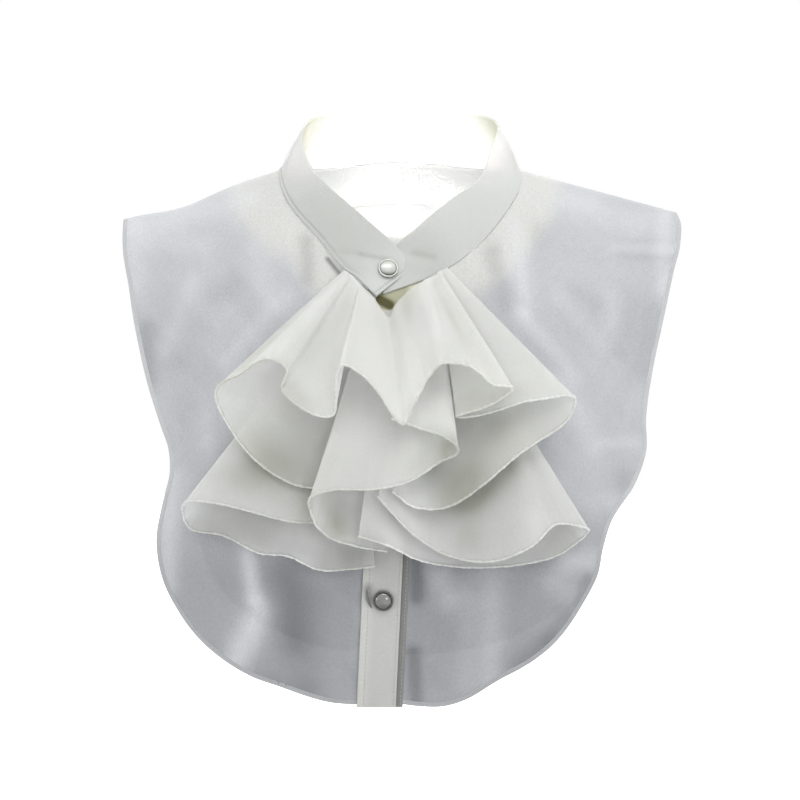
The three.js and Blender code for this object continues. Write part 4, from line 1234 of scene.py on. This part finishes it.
# Patches of painted light (amount above 0) and painted shade on a ruffle, by fold and share of the height
UPPER_PAINTED_LIGHT_AND_SHADE = table(Tone, [
    (2.2, 0.6, 1.6, 0.14, 0.7), (1.5, 0.95, 1.4, 0.14, -0.8), (0.4, 0.45, 0.6, 0.12, 1.0),
    (4.5, 0.7, 0.6, 0.5, -0.75), (5.5, 0.6, 0.6, 0.6, -0.25), (6.8, 0.35, 1.5, 0.25, 0.3),
    (8.5, 0.95, 0.8, 0.08, -0.45), (7.5, 1.0, 0.9, 0.08, -0.25),
    (9.8, 0.45, 0.5, 0.25, 0.5), (13.4, 0.25, 0.4, 0.15, 0.4), (13.5, 0.95, 0.5, 0.1, -0.2),
    (15.3, 0.5, 0.3, 0.3, 0.35), (15.8, 0.2, 0.2, 0.2, 0.4), (16.4, 0.3, 0.25, 0.3, -0.3),
    (17.8, 0.65, 1.3, 0.6, -0.42), (15.5, 0.05, 0.5, 0.08, -0.3), (19.6, 1.0, 0.6, 0.1, -0.6),
    (20.3, 0.66, 0.5, 0.12, 1.0), (20.5, 0.96, 0.6, 0.1, -0.6), (22.6, 0.92, 0.6, 0.08, -0.4),
    (23.6, 0.6, 0.8, 0.5, -0.2), (25.4, 0.96, 1.0, 0.12, -0.55), (26.2, 0.82, 0.8, 0.07, -0.4),
    (26.9, 0.62, 1.2, 0.1, 0.9), (27.5, 0.95, 0.9, 0.12, -1.1), (28.5, 0.8, 0.4, 0.06, -0.8),
    (29.3, 0.92, 0.5, 0.12, 1.0), (16.4, 0.15, 0.45, 0.15, 0.45), (16.1, 0.4, 0.45, 0.18, 0.5),
    (15.8, 0.66, 0.5, 0.15, 0.4), (17.3, 0.45, 0.35, 0.25, -0.25), (14.9, 0.12, 0.5, 0.2, -0.45),
    (8.0, 0.2, 0.7, 0.2, 0.4), (7.3, 0.1, 0.12, 0.04, -0.6),
])
MIDDLE_PAINTED_LIGHT_AND_SHADE = table(Tone, [
    (0.5, 0.7, 0.7, 0.25, 1.0), (3.0, 0.35, 2.5, 0.3, 1.0), (7.0, 0.35, 2.5, 0.3, 1.0),
    (4.8, 0.6, 0.8, 0.15, 0.6), (2.4, 0.98, 0.4, 0.08, -0.6), (3.5, 0.95, 0.7, 0.12, -1.2),
    (1.5, 1.0, 0.7, 0.1, -0.4),
    (4.8, 0.92, 0.5, 0.1, -0.3), (8.5, 0.55, 0.5, 0.08, -0.7), (8.5, 1.0, 0.5, 0.06, -0.5),
    (7.6, 0.85, 0.6, 0.3, -0.35), (10.2, 0.93, 0.6, 0.08, -1.0), (10.6, 0.75, 0.5, 0.05, 0.8),
    (11.4, 0.75, 0.4, 0.08, 0.8),
])
LOWER_LEFT_PAINTED_LIGHT_AND_SHADE = table(Tone, [
    (0.2, 0.88, 0.8, 0.14, -1.3), (2.2, 0.76, 1.0, 0.1, -1.0), (2.4, 0.87, 1.2, 0.08, -0.45),
    (4.9, 0.92, 0.8, 0.09, 0.7), (6.6, 1.0, 0.8, 0.05, -0.5), (7.6, 0.92, 0.6, 0.07, -0.4),
    (8.2, 0.8, 0.5, 0.06, -0.4), (9.6, 0.88, 0.8, 0.07, 0.7), (9.6, 1.0, 0.4, 0.04, 0.6),
    (11.2, 0.96, 0.8, 0.06, -0.6),
])
LOWER_RIGHT_PAINTED_LIGHT_AND_SHADE = table(Tone, [
    (0.4, 0.76, 0.6, 0.1, 1.0), (0.4, 1.0, 0.5, 0.05, -0.5), (1.8, 0.94, 0.9, 0.1, 1.0),
    (5.5, 0.82, 0.6, 0.07, 0.5), (5.5, 1.0, 0.6, 0.06, -0.5), (6.6, 0.95, 0.5, 0.08, 0.5),
    (8.5, 0.72, 0.5, 0.08, -0.4), (10.6, 0.7, 0.9, 0.09, -1.0), (9.6, 0.93, 0.5, 0.08, 0.5),
    (9.6, 0.68, 0.5, 0.08, -0.7), (11.5, 0.74, 0.6, 0.09, -1.3), (11.6, 0.92, 0.5, 0.08, -0.5),
    (12.4, 0.78, 0.5, 0.05, -0.6), (13.4, 0.9, 0.4, 0.08, 0.7),
])


# Stretches of hem that hardly stand out from their cloth
UPPER_SOFT = table(Tone, [
    (5.6, 1, 1.5, 1, -0.8), (8.6, 1, 0.8, 1, -0.3), (12.3, 1, 2.4, 1, -0.6),
    (16.3, 1, 1.3, 1, -0.55),
])
MIDDLE_SOFT = [Tone(2.5, 1, 2.0, 1, -0.4), Tone(7.0, 1, 1.6, 1, -0.45)]
LOWER_LEFT_SOFT = [Tone(1.6, 1, 2.2, 1, -0.4)]
LOWER_RIGHT_SOFT = [Tone(12.5, 1, 1.6, 1, -0.4)]


def flutter(place, v):
    v = np.clip(v, 0, 1)
    lean = FLUTTER_LEAN * np.sin(FLUTTER_TURN * v + place)
    return sum(
        height * np.sin(2 * np.pi * waves * place + turn + lean) * v**growth
        for height, waves, turn, growth in FLUTTER
    )


def ruffle(name, folds, tones, soft, columns, rows):
    """A gathered sheet with a rolled hem, which lies between its sewn points and its hem fold by fold."""
    hem_at = catmull_rom([(row.x, row.out, row.z) for row in folds])
    seam_at = catmull_rom([(row.sew_x, row.sew_out, row.sew_z) for row in folds])
    swell_at = catmull_rom([(place, row.swell, 0) for place, row in enumerate(folds)])
    spans = len(folds) - 1

    def draped(u, v):
        hem, seam, swell = hem_at(u), seam_at(u), swell_at(u)[..., 1]
        x = seam[..., 0] + (hem[..., 0] - seam[..., 0]) * v
        z = seam[..., 2] + (hem[..., 2] - seam[..., 2]) * v
        lift = v + swell * np.sin(np.pi * v)
        return np.stack([x, front_y(x, z) - seam[..., 1] - (hem[..., 1] - seam[..., 1]) * lift, z], -1)

    def point(u, v):
        along = draped(np.minimum(u + OUTLINE_STEP, 1), v) - draped(np.maximum(u - OUTLINE_STEP, 0), v)
        normal = np.cross(along, draped(u, v + OUTLINE_STEP) - draped(u, v - OUTLINE_STEP))
        normal /= np.maximum(np.linalg.norm(normal, axis=-1, keepdims=True), 1e-9)
        return draped(u, v) + normal * flutter(u * spans, v)[..., None]

    grid, u, v, half = grid_of(point, columns, rows, CHIFFON)
    # Painted shade towards the bottom, and painted light and painted shade by fold
    masks = {"low": smooth_step(*RUFFLE_LOW_PAINTED_SHADE, grid[..., 2]), **patches(tones, u * spans, v)}
    cloth = finish_piece(shell(name + "_cloth", grid, half, masks), RUFFLE, [name])
    steps = np.linspace(0, 1, EDGE_POINTS)
    edge = even_steps(np.column_stack([point(steps, np.ones_like(steps)), steps]), CORD_STEP)
    turns = np.arange(len(edge))
    rolled = CORD_RADIUS * (1 + sum(a * np.sin(turns * pace + turn) for a, pace, turn in CORD_KNOTS))
    # The hem takes its cloth's painted shade towards the bottom and its painted light and shade by fold
    masks = {
        "low": smooth_step(*RUFFLE_LOW_PAINTED_SHADE, edge[:, 2]),
        **patches(tones + soft, edge[:, 3] * spans, np.ones(len(edge))),
    }
    cord = finish_piece(tube(name + "_hem", edge[:, :3], rolled, CORD_SIDES, masks), ROLLED)


def normal_at(point_at, u, v):
    step = 1e-4
    u, v = np.array([u, u, u + step, u - step]), np.array([v + step, v - step, v, v])
    up, down, ahead, behind = point_at(u, v)
    normal = np.cross(ahead - behind, up - down)
    return normal / np.linalg.norm(normal)


# The gap between a button and its cloth and between a pearl and the cup's floor, and the pearl's narrower
# gap to the cup's lip
CUP_GAP = 0.35
PEARL_GAP = CUP_GAP * 0.3
CUP_FLOOR = 1.0
CUP_HEIGHT = 2.2
CUP_LIP = 1.3
CUP_CORNER = 0.9
CORNER_TURN = (0.2, math.pi / 2, 7)
LIP_TURN = (0, math.pi, 15)
DOME_TURN = (0, math.pi / 2, 22)
DOME_HEIGHT = 3.7
DOME_EDGE = 1.9


# A pearl's painted highlight, a bright band: the place and width of it along x and z, and the drop over
# which painted shade darkens the pearl
GLEAM_X, GLEAM_WIDE = -0.8, 4.2
GLEAM_Z, GLEAM_TALL = 2.2, 1.5
PEARL_SHADE_DROP = (0.8, 4)


def pearl_highlight_and_shade(away):
    """Masks of a pearl: a painted highlight across its upper half and painted shade along its lower edge."""
    return {
        "pale": bell(away[:, 2] - GLEAM_Z, GLEAM_TALL) * bell(away[:, 0] - GLEAM_X, GLEAM_WIDE),
        "dim": smooth_step(*PEARL_SHADE_DROP, -away[:, 2]),
    }


def button(name, seat, metal, pearl):
    """A cup-shaped metal rim with a domed pearl in it."""
    r = BUTTON_RADIUS
    cup = [(0, 0), (r - CUP_CORNER, 0)]
    cup += [
        (r - CUP_CORNER + CUP_CORNER * math.sin(a), CUP_CORNER - CUP_CORNER * math.cos(a))
        for a in np.linspace(*CORNER_TURN)
    ]
    middle, bead = r - CUP_LIP / 2, CUP_LIP / 2
    cup += [
        (middle + bead * math.cos(a), CUP_HEIGHT - bead + bead * math.sin(a))
        for a in np.linspace(*LIP_TURN)
    ]
    cup += [(r - CUP_LIP, CUP_FLOOR), (0, CUP_FLOOR)]
    finish_piece(revolve(name + "_rim", cup, seat), metal, [name + "_button_rim"])
    dome_radius = r - CUP_LIP - PEARL_GAP
    dome = [(0, CUP_FLOOR + CUP_GAP), (dome_radius, CUP_FLOOR + CUP_GAP)]
    dome += [
        (dome_radius * math.cos(a), DOME_EDGE + (DOME_HEIGHT - DOME_EDGE) * math.sin(a))
        for a in np.linspace(*DOME_TURN)
    ]
    dome[-1] = (0, DOME_HEIGHT)
    shell_piece = revolve(name + "_pearl", dome, seat, pearl_highlight_and_shade)
    finish_piece(shell_piece, pearl, [name + "_button_pearl"])


# The plackets' facing behind the gap under the neck button, coloured in painted shade, with a darker painted
# shadow in the hollow beside the band's end
TAB_LEFT, TAB_RIGHT = -21, 19
TAB_TOP, TAB_BOTTOM = -58, -83
TAB_IN = 1.5
TAB_CLOTH = 0.8
TAB_GRID = (48, 36)
TAB_HOLLOW_SHADOW = [Crease(-12.8, -72, -6.8, -75.3, 2.7, 2.2)]
TAB_PALE_RIGHT = (3, 8)
TAB_PALE_BELOW = (-76, -80)


def neck_tab():
    def point(u, v):
        x = TAB_LEFT + (TAB_RIGHT - TAB_LEFT) * u
        z = TAB_BOTTOM + (TAB_TOP - TAB_BOTTOM) * v
        return np.stack([x, front_y(x, z) + TAB_IN, z], -1)

    grid, u, v, half = grid_of(point, *TAB_GRID, TAB_CLOTH)
    x, z = grid[..., 0], grid[..., 2]
    # A painted shadow in the hollow, and paler cloth to the right and below where no painted shade falls
    masks = {
        "hollow_painted_shadow": np.clip(creases(TAB_HOLLOW_SHADOW, x, z), 0, 1),
        "pale": np.maximum(smooth_step(*TAB_PALE_RIGHT, x), smooth_step(*TAB_PALE_BELOW, z)),
    }
    tab = finish_piece(shell("neck_tab_cloth", grid, half, masks), SHADED_TAB)


NECK_BUTTON = (0.5 / BAND_SPANS, 0.54)
PLACKET_BUTTON = (-10.8, -264.0)
BAND_WALL = 1.8
PLACKET_WALL = 1.5


def placket_face(x, z):
    return np.stack([x, front_y(x, z) - PLACKET_OUT, z], -1)


band()
front_panel(
    "front_left", "front_panel_left", LEFT_OUTLINE, 0, LEFT_NECK_POINT, False
)
front_panel(
    "front_right", "front_panel_right", RIGHT_OUTLINE, RIGHT_PANEL_START, RIGHT_NECK_POINT, True,
)
back_panel()
neck_seam()
shoulder_seam("shoulder_seam_left", -1)
shoulder_seam("shoulder_seam_right", 1)

half_width = PLACKET_WIDTH / 2
placket(
    "front_placket", "front_placket", -half_width, half_width, PLACKET_OUT,
    (-half_width + LEFT_SEWN, half_width - RIGHT_SEWN),
)
placket(
    "under_placket", "under_placket", -UNDER_REACH, UNDER_EDGE, 0,
    (UNDER_EDGE - UNDER_SEWN,),
)
neck_tab()
ruffle(
    "jabot_upper", UPPER_FOLDS, UPPER_PAINTED_LIGHT_AND_SHADE, UPPER_SOFT, 420, 76
)
ruffle(
    "jabot_middle", MIDDLE_FOLDS, MIDDLE_PAINTED_LIGHT_AND_SHADE, MIDDLE_SOFT, 200, 66,
)
ruffle(
    "jabot_lower_left", LOWER_LEFT_FOLDS, LOWER_LEFT_PAINTED_LIGHT_AND_SHADE, LOWER_LEFT_SOFT, 200, 76,
)
ruffle(
    "jabot_lower_right", LOWER_RIGHT_FOLDS, LOWER_RIGHT_PAINTED_LIGHT_AND_SHADE, LOWER_RIGHT_SOFT, 240, 76,
)

for name, point_at, place, sign, wall, metal, pearl in (
    ("neck", band_point, NECK_BUTTON, -1, BAND_WALL, NECK_RIM_PAINTED_LIGHT, NECK_PEARL_PAINTED_LIGHT),
    ("placket", placket_face, PLACKET_BUTTON, 1, PLACKET_WALL, PLACKET_RIM_PAINTED_SHADE, PLACKET_PEARL_PAINTED_SHADE),
):
    normal = sign * normal_at(point_at, *place)
    middle = point_at(np.array([place[0]]), np.array([place[1]]))[0]
    button(name, (middle + normal * (wall / 2 + CUP_GAP), normal), metal, pearl)

# The worked end of the buttonhole that shows beside the placket's button
HOLE_TOP = (-21.3, -257.3)
HOLE_MIDDLE = (-20.6, -263.5)
HOLE_BOTTOM = (-18.0, -269.0)
HOLE_THREAD = 0.95
HOLE_POINTS = 60
HOLE_SIDES = 10
HOLE_TAPER = (0.02, 0.98)
hole_line = catmull_rom([(x, 0, z) for x, z in (HOLE_TOP, HOLE_MIDDLE, HOLE_BOTTOM)])
hole_curve = hole_line(np.linspace(0, 1, HOLE_POINTS))
hole_path = placket_face(hole_curve[:, 0], hole_curve[:, 2])
hole_path[:, 1] -= FOLDED_CLOTH / 2
hole_radii = HOLE_THREAD * np.sqrt(np.sin(np.pi * np.linspace(*HOLE_TAPER, HOLE_POINTS)))
finish_piece(tube("placket_buttonhole", hole_path, hole_radii, HOLE_SIDES), DARK_THREAD)


# Floor, lights and camera

WHOLE_SPREAD = math.pi
NECK_SPREAD = math.radians(5)


def area_light(name, at, target, size, power, spread=WHOLE_SPREAD):
    data = bpy.data.lights.new(name, "AREA")
    data.shape = "RECTANGLE"
    data.size, data.size_y = size
    data.energy = power
    data.spread = spread
    light = bpy.data.objects.new(name, data)
    light.location = at
    light.rotation_euler = (Vector(target) - Vector(at)).to_track_quat("-Z", "Y").to_euler()
    bpy.context.scene.collection.objects.link(light)


def floor_material():
    """Pale paper that glows where the camera sees it, so that it meets the backdrop without a line."""
    graph = Graph("floor_paper")
    fibre = graph.noise(25, 4.0)
    graph.coloured((0.85, 0.85, 0.85), graph.ranged(fibre, 0.99, 1.01))
    seen = graph.add("ShaderNodeLightPath").outputs["Is Camera Ray"]
    graph.link(graph.math("MULTIPLY", seen, FLOOR_GLOW), graph.shader.inputs["Emission Strength"])
    graph.set(Roughness=0.95, Emission_Color=(1, 1, 1, 1))
    return graph.material


FLOOR_Z = -0.42
FLOOR_HALF = 9
FLOOR_GLOW = 0.72
floor_mesh = bpy.data.meshes.new("floor")
floor_corners = [(FLOOR_HALF * x, FLOOR_HALF * y, FLOOR_Z) for x, y in ((-1, -1), (1, -1), (1, 1), (-1, 1))]
floor_mesh.from_pydata(floor_corners, [], [(0, 1, 2, 3)])
floor = bpy.data.objects.new("floor", floor_mesh)
floor.data.materials.append(floor_material())
bpy.context.scene.collection.objects.link(floor)

# Soft light from all sides, and a plain white backdrop
WORLD_LIGHT = 1.05
BACKDROP = 1.0
world = bpy.data.worlds.new("studio")
bpy.context.scene.world = world
world.use_nodes = True
world_nodes = world.node_tree.nodes
path_kind = world_nodes.new("ShaderNodeLightPath")
either = world_nodes.new("ShaderNodeMixShader")
world_links = world.node_tree.links
world_links.new(path_kind.outputs["Is Camera Ray"], either.inputs[0])
light_and_backdrop = (
    (world_nodes["Background"], WORLD_LIGHT, 1), (world_nodes.new("ShaderNodeBackground"), BACKDROP, 2),
)
for background, strength, place in light_and_backdrop:
    background.inputs["Color"].default_value = (1, 1, 1, 1)
    background.inputs["Strength"].default_value = strength
    world_links.new(background.outputs[0], either.inputs[place])
world_links.new(either.outputs[0], world_nodes["World Output"].inputs["Surface"])

area_light("key", (0.15, -0.7, 0.55), (0, -0.08, -0.05), (0.7, 0.5), 3.5)
area_light("left glint", (-1.75, -1.4, -0.16), (0, -0.08, -0.15), (0.3, 0.5), 3.0)
area_light("right glint", (1.0, -2.3, -0.16), (0, -0.08, -0.15), (0.3, 0.5), 3.0)
area_light("neck", (0, -0.948, 0.412), (0, 0.072, 0.002), (0.14, 0.03), 0.026, spread=NECK_SPREAD)
area_light("back", (0.1, 1.2, 0.5), (0, -0.08, -0.12), (1.0, 1.0), 12)

# The photograph's view: straight on, level with the middle of the collar
CAMERA_Y = -2.560
CAMERA_Z = -0.1365
CAMERA_SENSOR = 36
CAMERA_LENS = 173
camera_data = bpy.data.cameras.new("camera")
camera_data.sensor_width = CAMERA_SENSOR
camera_data.lens = CAMERA_LENS
camera = bpy.data.objects.new("camera", camera_data)
camera.location = (0, CAMERA_Y, CAMERA_Z)
camera.rotation_euler = (math.pi / 2, 0, 0)
bpy.context.scene.collection.objects.link(camera)
bpy.context.scene.camera = camera
bpy.context.scene.view_settings.view_transform = "Standard"
